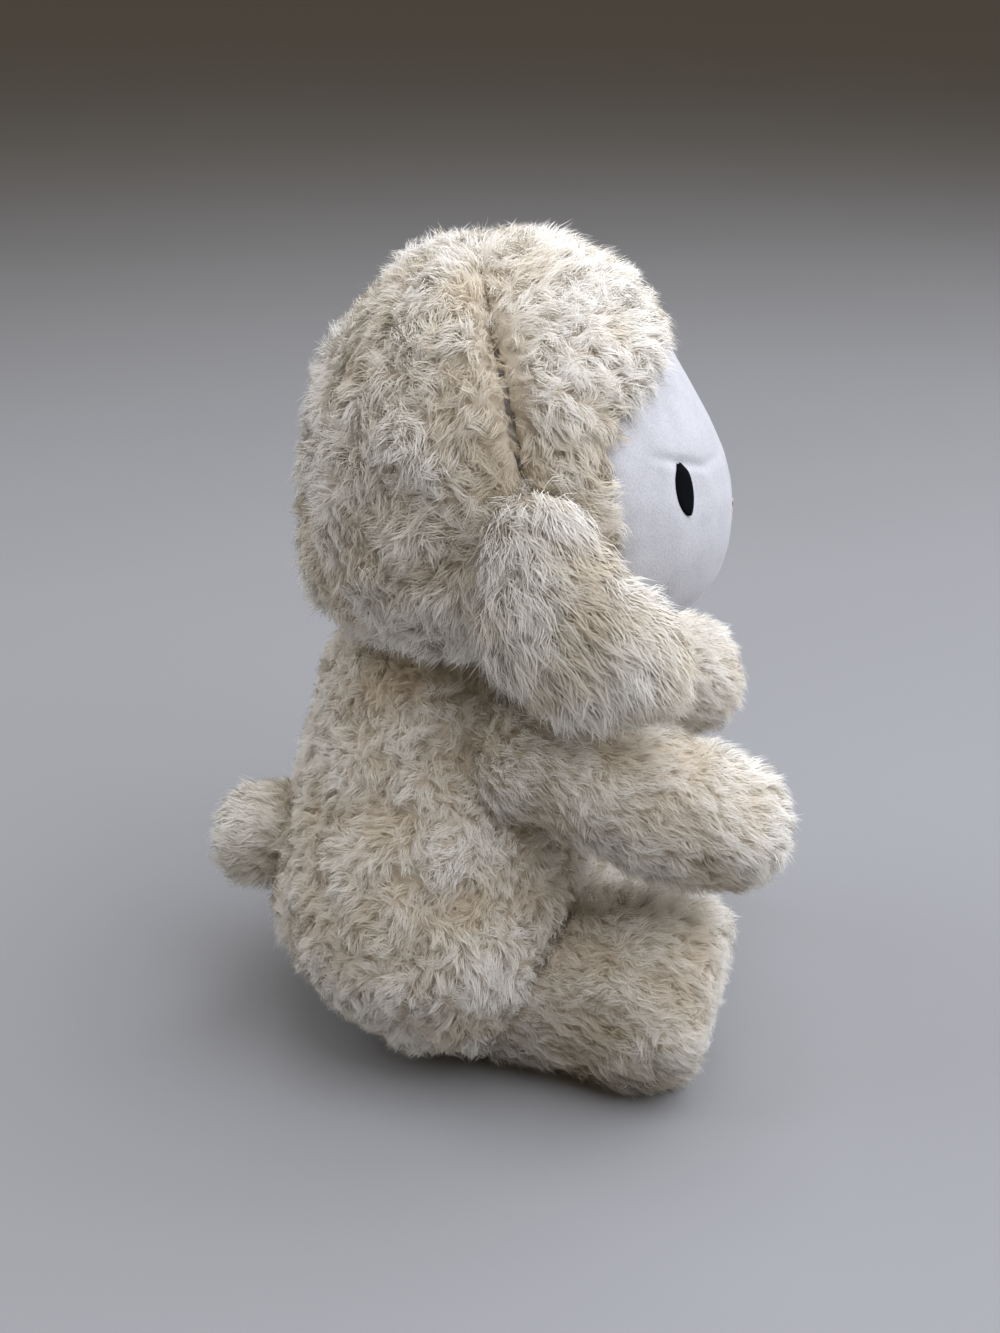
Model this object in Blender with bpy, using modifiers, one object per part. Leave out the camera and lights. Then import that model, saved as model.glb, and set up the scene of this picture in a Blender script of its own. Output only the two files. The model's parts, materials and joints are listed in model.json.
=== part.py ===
"""A seated plush sheep: sewn fabric skins over stuffing, modelled at its real size in metres.

The sheep faces -Y, its right side is -X and it sits on the plane z = 0.
"""
import math

import bmesh
import bpy
from mathutils import Matrix, Vector

X_AXIS = Vector((1.0, 0.0, 0.0))
Y_AXIS = Vector((0.0, 1.0, 0.0))
Z_AXIS = Vector((0.0, 0.0, 1.0))
SIDE_SHARES = {"right": -1.0, "left": 1.0}

# Cloth and clearances
CLOTH = 0.003
GAP = 0.0003
JOINT_GAP = 0.0005
FLAT_CUT = 0.0005
OVERRUN = 0.01
SMOOTH_LEVEL = 1
SWEEP_STEP_DEGREES = 9.0

# Torso: a pear that is widest at the seat and narrows to the neck
TORSO_HEIGHT = 0.148
TORSO_WIDTH = 0.139
TORSO_DEPTH = 0.0965
TORSO_SIZE = Vector((TORSO_WIDTH, TORSO_DEPTH, TORSO_HEIGHT))
TORSO_PLACE = Vector((0.0, 0.0180, 0.0))
TORSO_SIDES = 12
TORSO_CORE_SIDES = 8
# height, lean, width and depth shares, from the neck down to the seat
TORSO_SHARES = (
    (1.000, -0.129, 0.000, 0.000),
    (0.946, -0.129, 0.317, 0.447),
    (0.851, -0.071, 0.532, 0.726),
    (0.730, -0.074, 0.691, 0.761),
    (0.608, -0.058, 0.820, 0.832),
    (0.486, -0.033, 0.935, 0.924),
    (0.338, 0.000, 1.000, 1.000),
    (0.203, -0.025, 0.905, 0.900),
    (0.074, -0.085, 0.600, 0.580),
    (0.000, -0.085, 0.000, 0.000),
)
NECK_OPENING_RADIUS = 0.015

# Pellet bag that weights the seat
BAG_HEIGHT = 0.030
BAG_WIDTH = 0.084
BAG_DEPTH = 0.062
BAG_SIDES = 12
BAG_SHARES = (
    (1.00, 0.0, 0.00, 0.00),
    (0.92, 0.0, 0.60, 0.60),
    (0.50, 0.0, 1.00, 1.00),
    (0.05, 0.0, 0.70, 0.70),
    (0.00, 0.0, 0.00, 0.00),
)

# Head: a round ball that bulges forward at the face, sunk a little over the torso's neck
HEAD_HEIGHT = 0.1165
HEAD_WIDTH = 0.116
HEAD_DEPTH = 0.121
HEAD_FORWARD = 0.028
HEAD_SUNK = 0.019
HEAD_SIZE = Vector((HEAD_WIDTH, HEAD_DEPTH, HEAD_HEIGHT))
HEAD_PLACE = Vector((0.0, TORSO_PLACE.y - HEAD_FORWARD, TORSO_HEIGHT - HEAD_SUNK))
HEAD_SIDES = 12
HEAD_CORE_SIDES = 8
HEAD_SHARES = (
    (1.000, 0.029, 0.000, 0.000),
    (0.936, 0.033, 0.460, 0.415),
    (0.798, 0.041, 0.790, 0.660),
    (0.627, 0.035, 0.950, 0.835),
    (0.455, 0.002, 1.000, 0.963),
    (0.309, 0.000, 0.991, 1.000),
    (0.180, 0.010, 0.914, 0.979),
    (0.077, 0.021, 0.741, 0.876),
    (0.000, 0.054, 0.000, 0.000),
)
NECK_PIVOT_SHARES = (0.0, 0.1694, 0.0172)
NECK_RANGE_DEGREES = (-8.0, 8.0)

# Face panel: a squarish oval at the front of the head, and the band of fur above it
FACE_WIDTH = 0.104
FACE_HEIGHT = 0.080
FACE_REAR_SHARES = (0.0, -0.0826, 0.4120)
FACE_OVAL_POWER = 2.5
FACE_POINTS = 24
BAND_REAR_SHARES = (0.0, 0.0, 0.5236)
BAND_TILT_ANGLE = math.radians(-12.5)

# Embroidery on the face
THREAD_HEIGHT = 0.0008
EYE_WIDTH = 0.0060
EYE_HEIGHT = 0.0135
EYE_PLACE_SHARES = (0.3276, -0.3554, 0.4592)
EYE_TURN_ANGLE = math.radians(45.0)
EYE_POINTS = 16
NOSE_PLACE_SHARES = (0.0, -0.504, 0.3176)
NOSE_STROKE = 0.0016
NOSE_ARM = 0.0060
NOSE_STEM = 0.0075
NOSE_ARM_ANGLE = math.radians(35.0)

# Ears: broad pads hung from the sides of the head, curling forward
EAR_ROOT_SHARES = (0.4310, -0.0438, 0.5923)
EAR_REACH = 0.040
EAR_DROP = 0.054
EAR_LEAN_OUT = 0.015
EAR_WIDTH = 0.043
EAR_THICKNESS = 0.013
EAR_SIDES = 8
# forward, down, outward, thickness and width shares along the ear's middle
EAR_SHARES = (
    (0.00, 0.00, -0.20, 0.00, 0.00),
    (0.00, 0.15, 0.35, 0.70, 0.43),
    (0.00, 0.48, 0.80, 0.90, 0.64),
    (0.10, 0.84, 1.00, 1.00, 1.00),
    (0.45, 0.99, 0.95, 1.00, 0.84),
    (0.80, 0.97, 0.70, 0.85, 0.64),
    (1.00, 0.93, 0.45, 0.00, 0.00),
)
EAR_PIVOT_SHARES = (0.4483, -0.0438, 0.4893)
EAR_RANGE_DEGREES = (0.0, 50.0)
LINING_SHARE = 0.66
LINING_THICKNESS = 0.004
LINING_SUNK = 0.0025

# Arms: sausages that reach forward from the shoulders, with plump paws
ARM_LENGTH = 0.092
ARM_WIDTH = 0.035
ARM_ROOT_SHARES = (0.2950, -0.1399, 0.7230)
ARM_SPREAD_ANGLE = math.radians(10.0)
ARM_DROOP_ANGLE = math.radians(11.0)
ARM_SIDES = 8
# length, rise, width and height shares from the shoulder to the paw
ARM_SHARES = (
    (0.00, 0.00, 0.00, 0.00),
    (0.09, 0.03, 0.78, 0.82),
    (0.26, 0.06, 0.93, 0.92),
    (0.42, 0.04, 0.89, 0.86),
    (0.58, 0.00, 0.97, 1.00),
    (0.74, -0.02, 1.00, 1.00),
    (0.89, -0.02, 0.83, 0.86),
    (1.00, -0.04, 0.00, 0.00),
)
ARM_PIVOT_SHARES = (0.3165, -0.3368, 0.7095)
ARM_RANGE_DEGREES = (-10.0, 15.0)

# Legs: stubs that lie on the ground, splayed, each ending in an upright sole
LEG_LENGTH = 0.093
LEG_WIDTH = 0.052
LEG_HEIGHT = 0.056
LEG_ROOT_SHARES = (0.1439, 0.0207, 0.1790)
LEG_SPREAD_ANGLE = math.radians(17.0)
LEG_SIDES = 8
LEG_SHARES = (
    (0.00, 0.00, 0.00, 0.00),
    (0.11, 0.00, 0.66, 0.70),
    (0.34, 0.00, 0.86, 0.86),
    (0.56, 0.00, 0.94, 0.95),
    (0.76, 0.00, 1.00, 1.00),
    (0.92, 0.00, 0.96, 0.97),
    (0.98, 0.00, 0.75, 0.75),
    (1.00, 0.00, 0.00, 0.00),
)
LEG_PIVOT_SHARES = (0.2158, -0.1865, 0.2027)
LEG_RANGE_DEGREES = (-10.0, 10.0)
SOLE_SHARE = 0.955

# Tail: a short stub at the back of the seat
TAIL_LENGTH = 0.0342
TAIL_WIDTH = 0.025
TAIL_ROOT_SHARES = (0.0, 0.3316, 0.4257)
TAIL_DROOP_ANGLE = math.radians(12.0)
TAIL_SIDES = 8
TAIL_SHARES = (
    (0.00, 0.00, 0.00, 0.00),
    (0.20, 0.00, 0.80, 0.80),
    (0.50, 0.00, 1.00, 1.00),
    (0.80, 0.00, 0.86, 0.86),
    (1.00, 0.00, 0.00, 0.00),
)
TAIL_PIVOT_SHARES = (0.0, 0.4560, 0.4122)
TAIL_RANGE_DEGREES = (-15.0, 20.0)

# Colours and roughness
FUR_COLOUR = (0.80, 0.76, 0.67)
VELVET_COLOUR = (0.85, 0.86, 0.88)
EYE_COLOUR = (0.02, 0.03, 0.08)
NOSE_COLOUR = (0.72, 0.60, 0.56)
STUFFING_COLOUR = (0.93, 0.93, 0.92)
BAG_COLOUR = (0.80, 0.82, 0.84)
CLOTH_ROUGHNESS = 0.9
THREAD_ROUGHNESS = 0.5


def clear_scene():
    """Remove every object of the open file."""
    for thing in list(bpy.data.objects):
        bpy.data.objects.remove(thing, do_unlink=True)


def new_collection(name):
    """A collection linked to the scene."""
    collection = bpy.data.collections.new(name)
    bpy.context.scene.collection.children.link(collection)
    return collection


def cloth_material(name, colour, roughness):
    """A plain Principled material."""
    material = bpy.data.materials.new(name)
    material.use_nodes = True
    shader = material.node_tree.nodes["Principled BSDF"]
    shader.inputs["Base Color"].default_value = (*colour, 1.0)
    shader.inputs["Roughness"].default_value = roughness
    shader.inputs["Metallic"].default_value = 0.0
    return material


def place_on(place, size, shares, side=1.0):
    """A point given in shares of the size of the piece that carries it, on one of its sides."""
    across, through, up = shares
    return place + Vector((side * across * size.x, through * size.y, up * size.z))


def on_torso(shares, side=1.0):
    """A point in shares of the torso's size."""
    return place_on(TORSO_PLACE, TORSO_SIZE, shares, side)


def on_head(shares, side=1.0):
    """A point in shares of the head's size."""
    return place_on(HEAD_PLACE, HEAD_SIZE, shares, side)


def stacked_rows(shares, place, width, depth, height):
    """Rings stacked down Z: each a centre, a half width and a half depth."""
    rows = []
    for height_share, lean_share, width_share, depth_share in shares:
        centre = place + Y_AXIS * (lean_share * depth) + Z_AXIS * (height_share * height)
        rows.append((centre, width_share * width / 2, depth_share * depth / 2))
    return rows


def limb_rows(shares, root, heading, length, width, height):
    """Rings along a limb: each a centre, a half width and a half height."""
    rows = []
    for along_share, rise_share, width_share, height_share in shares:
        centre = root + heading * (along_share * length) + Z_AXIS * (rise_share * height)
        rows.append((centre, width_share * width / 2, height_share * height / 2))
    return rows


def ear_rows(side, size_share=1.0, thickness=EAR_THICKNESS, inward=0.0):
    """Rings along one ear's curved middle: each a centre, a half thickness and a half width."""
    root = on_head(EAR_ROOT_SHARES, side)
    rows = []
    for forward, down, outward, thick_share, width_share in EAR_SHARES:
        out = side * (outward * EAR_LEAN_OUT - inward)
        ahead = (forward * size_share + (1.0 - size_share) / 2) * EAR_REACH
        below = (down + 1.0 - size_share) * size_share * EAR_DROP
        centre = root + Vector((out, -ahead, -below))
        width = width_share * EAR_WIDTH * size_share
        rows.append((centre, thick_share * thickness / 2, width / 2))
    return rows


def heading(spread, droop, side):
    """Unit vector that points forward, turned out by spread and down by droop."""
    flat = math.cos(droop)
    return Vector((side * math.sin(spread) * flat, -math.cos(spread) * flat, -math.sin(droop)))


def ring_cage(name, rows, sides, upright=False):
    """Closed coarse cage: a unit sphere whose rings are laid on the rows, poles at both ends.

    The rings are enlarged by what smoothing takes off them.
    """
    last = len(rows) - 1
    swell = 3.0 / (2.0 + math.cos(math.tau / sides))
    bm = bmesh.new()
    bmesh.ops.create_uvsphere(bm, u_segments=sides, v_segments=last, radius=1.0)
    for vert in bm.verts:
        polar = math.acos(max(-1.0, min(1.0, vert.co.z)))
        ring = round(polar / math.pi * last)
        angle = math.atan2(vert.co.y, vert.co.x)
        centre, half_u, half_v = rows[ring]
        before, after = rows[max(ring - 1, 0)][0], rows[min(ring + 1, last)][0]
        along = -Z_AXIS if upright else (after - before).normalized()
        across = (X_AXIS - along * along.x).normalized()
        through = across.cross(along)
        vert.co = centre + across * (half_u * swell * math.cos(angle))
        vert.co += through * (half_v * swell * math.sin(angle))
    mesh = bpy.data.meshes.new(name)
    bm.to_mesh(mesh)
    bm.free()
    mesh.shade_smooth()
    return mesh


def soft_form(name, rows, sides, core_sides, upright=False):
    """A form's smooth outer cage, and a plainer cage of the same rows for its hollow core."""
    outer = ring_cage(f"{name}_form", rows, sides, upright)
    return outer, ring_cage(f"{name}_core", rows, core_sides, upright)


def prism_mesh(name, outline, depth, matrix):
    """Closed prism of a flat outline, its depth centred on the outline's own plane."""
    bm = bmesh.new()
    count = len(outline)
    bmesh.ops.create_cone(bm, cap_ends=True, segments=count, radius1=1.0, radius2=1.0, depth=depth)
    for vert in bm.verts:
        turn = math.atan2(vert.co.y, vert.co.x) % math.tau
        vert.co.x, vert.co.y = outline[round(turn / math.tau * count) % count]
    bmesh.ops.transform(bm, matrix=matrix, verts=bm.verts[:])
    mesh = bpy.data.meshes.new(name)
    bm.to_mesh(mesh)
    bm.free()
    return mesh


def oval_outline(width, height, points, squareness=2.0):
    """Points of an oval, squarer than an ellipse where squareness is over two."""
    outline = []
    for index in range(points):
        angle = math.tau * index / points
        across, up = math.cos(angle), math.sin(angle)
        power = 2.0 / squareness
        outline.append((
            math.copysign(abs(across) ** power, across) * width / 2,
            math.copysign(abs(up) ** power, up) * height / 2,
        ))
    return outline


def forked_outline():
    """Points of a Y: two short arms over a stem, all of one stroke width."""
    half = NOSE_STROKE / 2
    strokes = (
        (NOSE_ARM_ANGLE, NOSE_ARM),
        (math.pi - NOSE_ARM_ANGLE, NOSE_ARM),
        (-math.pi / 2, NOSE_STEM),
    )
    outline = []
    for index, (angle, reach) in enumerate(strokes):
        along = Vector((math.cos(angle), math.sin(angle)))
        aside = Vector((-along.y, along.x))
        outline.append(along * reach - aside * half)
        outline.append(along * reach + aside * half)
        turn = (strokes[(index + 1) % len(strokes)][0] - angle) % math.tau
        inner = angle + turn / 2
        outline.append(Vector((math.cos(inner), math.sin(inner))) * (half / math.sin(turn / 2)))
    return [(point.x, point.y) for point in outline]


def box_mesh(name, low, high):
    """Closed box between two corners."""
    bm = bmesh.new()
    bmesh.ops.create_cube(bm, size=1.0)
    size = high - low
    bmesh.ops.scale(bm, vec=size, verts=bm.verts[:])
    bmesh.ops.translate(bm, vec=(low + high) / 2, verts=bm.verts[:])
    mesh = bpy.data.meshes.new(name)
    bm.to_mesh(mesh)
    bm.free()
    return mesh


def turned_about(pivot, axis, degrees):
    """Matrix that turns a shape about an axis through a pivot."""
    turn = Matrix.Rotation(math.radians(degrees), 4, axis)
    return Matrix.Translation(pivot) @ turn @ Matrix.Translation(-pivot)


def smooth(thing):
    """Subdivision from the coarse cage, in flat faces so that nested forms stay parallel."""
    modifier = thing.modifiers.new("Smooth", "SUBSURF")
    modifier.levels = SMOOTH_LEVEL
    modifier.render_levels = SMOOTH_LEVEL
    modifier = thing.modifiers.new("Flat faces", "TRIANGULATE")
    modifier.quad_method = "FIXED"


def offset(thing, distance):
    """Move the surface along its normals, outwards where distance is over zero."""
    modifier = thing.modifiers.new("Offset", "DISPLACE")
    modifier.mid_level = 0.0
    modifier.strength = distance


def cut(thing, tool, operation="DIFFERENCE"):
    """Boolean of a thing with a cutter."""
    modifier = thing.modifiers.new("Cut", "BOOLEAN")
    modifier.operation = operation
    modifier.solver = "EXACT"
    modifier.object = tool


class Sheep:
    """Keeps the collections, materials and cutters that the pieces share."""

    def __init__(self):
        self.parts = new_collection("plush_sheep")
        self.tools = new_collection("cutters")
        self.fur = cloth_material("fur_cloth", FUR_COLOUR, CLOTH_ROUGHNESS)
        self.velvet = cloth_material("velvet_cloth", VELVET_COLOUR, CLOTH_ROUGHNESS)
        self.eye_thread = cloth_material("eye_thread", EYE_COLOUR, THREAD_ROUGHNESS)
        self.nose_thread = cloth_material("nose_thread", NOSE_COLOUR, THREAD_ROUGHNESS)
        self.stuffing = cloth_material("polyester_stuffing", STUFFING_COLOUR, CLOTH_ROUGHNESS)
        self.bag_cloth = cloth_material("bag_cloth", BAG_COLOUR, CLOTH_ROUGHNESS)

    def tool(self, name, mesh, distance=None, matrix=None):
        """A hidden cutter; a distance makes it a smoothed form moved outwards by that much."""
        thing = bpy.data.objects.new(name, mesh)
        self.tools.objects.link(thing)
        thing.hide_render = True
        thing.display_type = "WIRE"
        if distance is not None:
            smooth(thing)
            offset(thing, distance)
        if matrix is not None:
            thing.matrix_world = matrix
        return thing

    def joint(self, name, pivot, parent=None):
        """An empty on a joint's axis, which carries the pieces that move there."""
        empty = bpy.data.objects.new(name, None)
        empty.location = pivot
        self.parts.objects.link(empty)
        if parent is not None:
            empty.parent = parent
            empty.matrix_parent_inverse = Matrix.Translation(-parent.location)
        return empty

    def piece(self, name, mesh, material, joint=None):
        """One node, left where its mesh lies and carried by its joint's empty."""
        thing = bpy.data.objects.new(name, mesh.copy())
        thing.data.materials.clear()
        thing.data.materials.append(material)
        self.parts.objects.link(thing)
        if joint is not None:
            thing.parent = joint
            thing.matrix_parent_inverse = Matrix.Translation(-joint.location)
        return thing

    def sweep(self, name, mesh, pivot, axis, limits, distance):
        """Cutters of a form at steps through a joint's range, as the moving piece meets it."""
        low, high = limits
        steps = math.ceil((high - low) / SWEEP_STEP_DEGREES)
        tools = []
        for step in range(steps + 1):
            degrees = low + (high - low) * step / steps
            matrix = turned_about(pivot, axis, -degrees)
            tools.append(self.tool(f"{name}_{step}", mesh, distance, matrix))
        return tools

    def skin(self, name, form, material, joint=None, tools=()):
        """A cloth skin: the form, hollowed by its core and cut by its neighbours."""
        outer, core = form
        thing = self.piece(name, outer, material, joint)
        smooth(thing)
        cut(thing, self.tool(f"{name}_hollow", core, -CLOTH))
        for tool in tools:
            cut(thing, tool)
        return thing

    def filling(self, name, form, joint=None, tools=()):
        """The stuffing inside a skin, in the shape of its form's core."""
        thing = self.piece(name, form[1], self.stuffing, joint)
        smooth(thing)
        offset(thing, -(CLOTH + GAP))
        for tool in tools:
            cut(thing, tool)
        return thing


def set_down(form):
    """Lower a form until its smoothed shape reaches the depth of the flat cut below z = 0."""
    probe = bpy.data.objects.new("probe", form[0])
    bpy.context.scene.collection.objects.link(probe)
    smooth(probe)
    graph = bpy.context.evaluated_depsgraph_get()
    low = min(vert.co.z for vert in probe.evaluated_get(graph).data.vertices)
    bpy.data.objects.remove(probe, do_unlink=True)
    for mesh in form:
        mesh.transform(Matrix.Translation(Z_AXIS * (-FLAT_CUT - low)))


def floor_tool(sheep):
    """Cutter that takes off everything below z = 0."""
    reach = TORSO_WIDTH + LEG_LENGTH
    low = Vector((-reach, -reach, -OVERRUN))
    return sheep.tool("floor", box_mesh("floor", low, Vector((reach, reach, 0.0))))


def add_torso(sheep, torso, floor):
    """Torso skin with its neck opening, its stuffing and the pellet bag in its seat."""
    neck = TORSO_PLACE + Y_AXIS * (TORSO_SHARES[0][1] * TORSO_DEPTH) + Z_AXIS * TORSO_HEIGHT
    outline = oval_outline(2 * NECK_OPENING_RADIUS, 2 * NECK_OPENING_RADIUS, TORSO_SIDES)
    opening = prism_mesh("neck_opening", outline, 4 * OVERRUN, Matrix.Translation(neck))
    sheep.skin("torso_skin", torso, sheep.fur, tools=(sheep.tool("neck_opening", opening), floor))

    place = TORSO_PLACE + Y_AXIS * (TORSO_SHARES[-1][1] * TORSO_DEPTH)
    rows = stacked_rows(BAG_SHARES, place, BAG_WIDTH, BAG_DEPTH, BAG_HEIGHT)
    bag_form = ring_cage("bag_form", rows, BAG_SIDES, upright=True)
    bag = sheep.piece("pellet_bag", bag_form, sheep.bag_cloth)
    smooth(bag)
    cut(bag, sheep.tool("torso_room", torso[1], -(CLOTH + GAP)), "INTERSECT")
    sheep.filling("torso_filling", torso, tools=(sheep.tool("bag_room", bag_form, GAP),))


def head_regions(sheep):
    """Cutters that part the head's skin: the face oval and the space before the band's rear seam."""
    front = HEAD_DEPTH + OVERRUN
    middle = on_head(FACE_REAR_SHARES) - Y_AXIS * (front / 2)
    upright = Matrix.Rotation(math.pi / 2, 4, "X")
    regions = {}
    for name, grow in (("inside", 0.0), ("outside", GAP)):
        outline = oval_outline(
            FACE_WIDTH + 2 * grow, FACE_HEIGHT + 2 * grow, FACE_POINTS, FACE_OVAL_POWER)
        place = Matrix.Translation(middle + Y_AXIS * grow) @ upright
        regions["face_" + name] = sheep.tool(
            "face_" + name, prism_mesh("face_" + name, outline, front, place))
        low = Vector((-HEAD_WIDTH, -2 * front, -2 * front))
        high = Vector((HEAD_WIDTH, grow, 2 * front))
        turn = Matrix.Rotation(BAND_TILT_ANGLE, 4, "X")
        seam = Matrix.Translation(on_head(BAND_REAR_SHARES)) @ turn
        regions["band_" + name] = sheep.tool(
            "band_" + name, box_mesh("band_" + name, low, high), matrix=seam)
    return regions


def add_head(sheep, head, torso, joint):
    """Head skin in three sewn panels, with its stuffing."""
    pivot = on_head(NECK_PIVOT_SHARES)
    tools = sheep.sweep("neck", torso[0], pivot, X_AXIS, NECK_RANGE_DEGREES, JOINT_GAP)
    regions = head_regions(sheep)
    back = sheep.skin("head_back_panel", head, sheep.fur, joint, tools)
    cut(back, regions["band_outside"])
    band = sheep.skin("brow_band", head, sheep.fur, joint, tools)
    cut(band, regions["band_inside"], "INTERSECT")
    cut(band, regions["face_outside"])
    face = sheep.skin("face_panel", head, sheep.velvet, joint, tools)
    cut(face, regions["face_inside"], "INTERSECT")
    sheep.filling("head_filling", head, joint, tools)


def add_embroidery(sheep, head, joint):
    """Stitched eyes and nose, raised on the face panel."""
    raised = sheep.tool("thread_top", head[0], GAP + THREAD_HEIGHT)
    seat = sheep.tool("thread_seat", head[0], GAP)
    depth = 2 * OVERRUN
    eye = oval_outline(EYE_WIDTH, EYE_HEIGHT, EYE_POINTS)
    upright = Matrix.Rotation(math.pi / 2, 4, "X")
    patches = []
    for word, side in SIDE_SHARES.items():
        place = Matrix.Translation(on_head(EYE_PLACE_SHARES, side))
        turn = Matrix.Rotation(EYE_TURN_ANGLE * side, 4, "Z")
        mesh = prism_mesh(f"{word}_eye", eye, depth, place @ turn @ upright)
        patches.append(sheep.piece(f"{word}_eye", mesh, sheep.eye_thread, joint))
    place = Matrix.Translation(on_head(NOSE_PLACE_SHARES)) @ upright
    mesh = prism_mesh("nose_stitching", forked_outline(), depth, place)
    patches.append(sheep.piece("nose_stitching", mesh, sheep.nose_thread, joint))
    for patch in patches:
        cut(patch, raised, "INTERSECT")
        cut(patch, seat)


def add_ears(sheep, head, neck):
    """Both ears: a furry pad with a lining sunk in its inner face."""
    for word, side in SIDE_SHARES.items():
        pivot = on_head(EAR_PIVOT_SHARES, side)
        joint = sheep.joint(f"{word}_ear_joint", pivot, neck)
        tools = sheep.sweep(
            f"{word}_ear", head[0], pivot, Y_AXIS * -side, EAR_RANGE_DEGREES, JOINT_GAP)
        inward = EAR_THICKNESS / 2 - LINING_SUNK + LINING_THICKNESS / 2
        lining_rows = ear_rows(side, LINING_SHARE, LINING_THICKNESS, inward)
        lining = ring_cage(f"{word}_lining_form", lining_rows, EAR_SIDES)
        ear = ring_cage(f"{word}_ear_form", ear_rows(side), EAR_SIDES)
        fur = sheep.piece(f"{word}_ear", ear, sheep.fur, joint)
        smooth(fur)
        cut(fur, sheep.tool(f"{word}_lining_room", lining, GAP))
        pad = sheep.piece(f"{word}_ear_lining", lining, sheep.velvet, joint)
        smooth(pad)
        for tool in tools:
            cut(fur, tool)
            cut(pad, tool)


def add_arms(sheep, torso):
    """Both arms: a skin and its stuffing, cut to the flank they hang on."""
    for word, side in SIDE_SHARES.items():
        root = on_torso(ARM_ROOT_SHARES, side)
        pivot = on_torso(ARM_PIVOT_SHARES, side)
        line = heading(ARM_SPREAD_ANGLE, ARM_DROOP_ANGLE, side)
        rows = limb_rows(ARM_SHARES, root, line, ARM_LENGTH, ARM_WIDTH, ARM_WIDTH)
        form = soft_form(f"{word}_arm", rows, ARM_SIDES, ARM_SIDES)
        joint = sheep.joint(f"{word}_shoulder_joint", pivot)
        tools = sheep.sweep(
            f"{word}_arm", torso[0], pivot, -X_AXIS, ARM_RANGE_DEGREES, JOINT_GAP)
        sheep.skin(f"{word}_arm_skin", form, sheep.fur, joint, tools)
        sheep.filling(f"{word}_arm_filling", form, joint, tools)


def add_legs(sheep, torso, floor):
    """Both legs: a skin with an upright sole, and its stuffing."""
    for word, side in SIDE_SHARES.items():
        root = on_torso(LEG_ROOT_SHARES, side)
        pivot = on_torso(LEG_PIVOT_SHARES, side)
        line = heading(LEG_SPREAD_ANGLE, 0.0, side)
        rows = limb_rows(LEG_SHARES, root, line, LEG_LENGTH, LEG_WIDTH, LEG_HEIGHT)
        form = soft_form(f"{word}_leg", rows, LEG_SIDES, LEG_SIDES)
        set_down(form)
        joint = sheep.joint(f"{word}_hip_joint", pivot)
        tools = sheep.sweep(
            f"{word}_leg", torso[0], pivot, -X_AXIS, LEG_RANGE_DEGREES, JOINT_GAP)
        tools.append(floor)
        leg = sheep.skin(f"{word}_leg_skin", form, sheep.fur, joint, tools)
        sole = sheep.skin(f"{word}_sole", form, sheep.velvet, joint, (floor,))
        sheep.filling(f"{word}_leg_filling", form, joint, tools)
        turn = Matrix.Rotation(LEG_SPREAD_ANGLE * side, 4, "Z")
        for name, grow, thing, work in (
            ("inside", 0.0, sole, "INTERSECT"),
            ("outside", GAP, leg, "DIFFERENCE"),
        ):
            low = Vector((-LEG_WIDTH, -LEG_WIDTH, -LEG_HEIGHT))
            high = Vector((LEG_WIDTH, grow, LEG_HEIGHT))
            place = Matrix.Translation(root + line * (SOLE_SHARE * LEG_LENGTH)) @ turn
            region = sheep.tool(f"{word}_sole_{name}", box_mesh("sole", low, high), matrix=place)
            cut(thing, region, work)


def add_tail(sheep, torso):
    """The tail: a stub of skin and stuffing at the back of the seat."""
    line = Vector((0.0, math.cos(TAIL_DROOP_ANGLE), -math.sin(TAIL_DROOP_ANGLE)))
    root = on_torso(TAIL_ROOT_SHARES)
    pivot = on_torso(TAIL_PIVOT_SHARES)
    rows = limb_rows(TAIL_SHARES, root, line, TAIL_LENGTH, TAIL_WIDTH, TAIL_WIDTH)
    form = soft_form("tail", rows, TAIL_SIDES, TAIL_SIDES)
    joint = sheep.joint("tail_joint", pivot)
    tools = sheep.sweep("tail", torso[0], pivot, X_AXIS, TAIL_RANGE_DEGREES, JOINT_GAP)
    sheep.skin("tail_skin", form, sheep.fur, joint, tools)
    sheep.filling("tail_filling", form, joint, tools)


def build():
    """Model the whole sheep."""
    clear_scene()
    sheep = Sheep()
    floor = floor_tool(sheep)
    rows = stacked_rows(TORSO_SHARES, TORSO_PLACE, TORSO_WIDTH, TORSO_DEPTH, TORSO_HEIGHT)
    torso = soft_form("torso", rows, TORSO_SIDES, TORSO_CORE_SIDES, upright=True)
    set_down(torso)
    rows = stacked_rows(HEAD_SHARES, HEAD_PLACE, HEAD_WIDTH, HEAD_DEPTH, HEAD_HEIGHT)
    head = soft_form("head", rows, HEAD_SIDES, HEAD_CORE_SIDES, upright=True)
    neck = sheep.joint("neck_joint", on_head(NECK_PIVOT_SHARES))
    add_torso(sheep, torso, floor)
    add_head(sheep, head, torso, neck)
    add_embroidery(sheep, head, neck)
    add_ears(sheep, head, neck)
    add_arms(sheep, torso)
    add_legs(sheep, torso, floor)
    add_tail(sheep, torso)


build()
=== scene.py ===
"""Looks of a seated plush sheep: long pile on sewn skins, a short-pile face and embroidered features.

The sheep faces -Y, its right side is -X and it sits on z = 0. Sizes are metres.
"""
import json
import math
import random

import bmesh
import bpy
from bpy.props import FloatProperty, FloatVectorProperty, IntProperty, PointerProperty
from bpy.types import Operator, Panel, PropertyGroup
from mathutils import Matrix, Vector, noise
from mathutils.bvhtree import BVHTree

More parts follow.
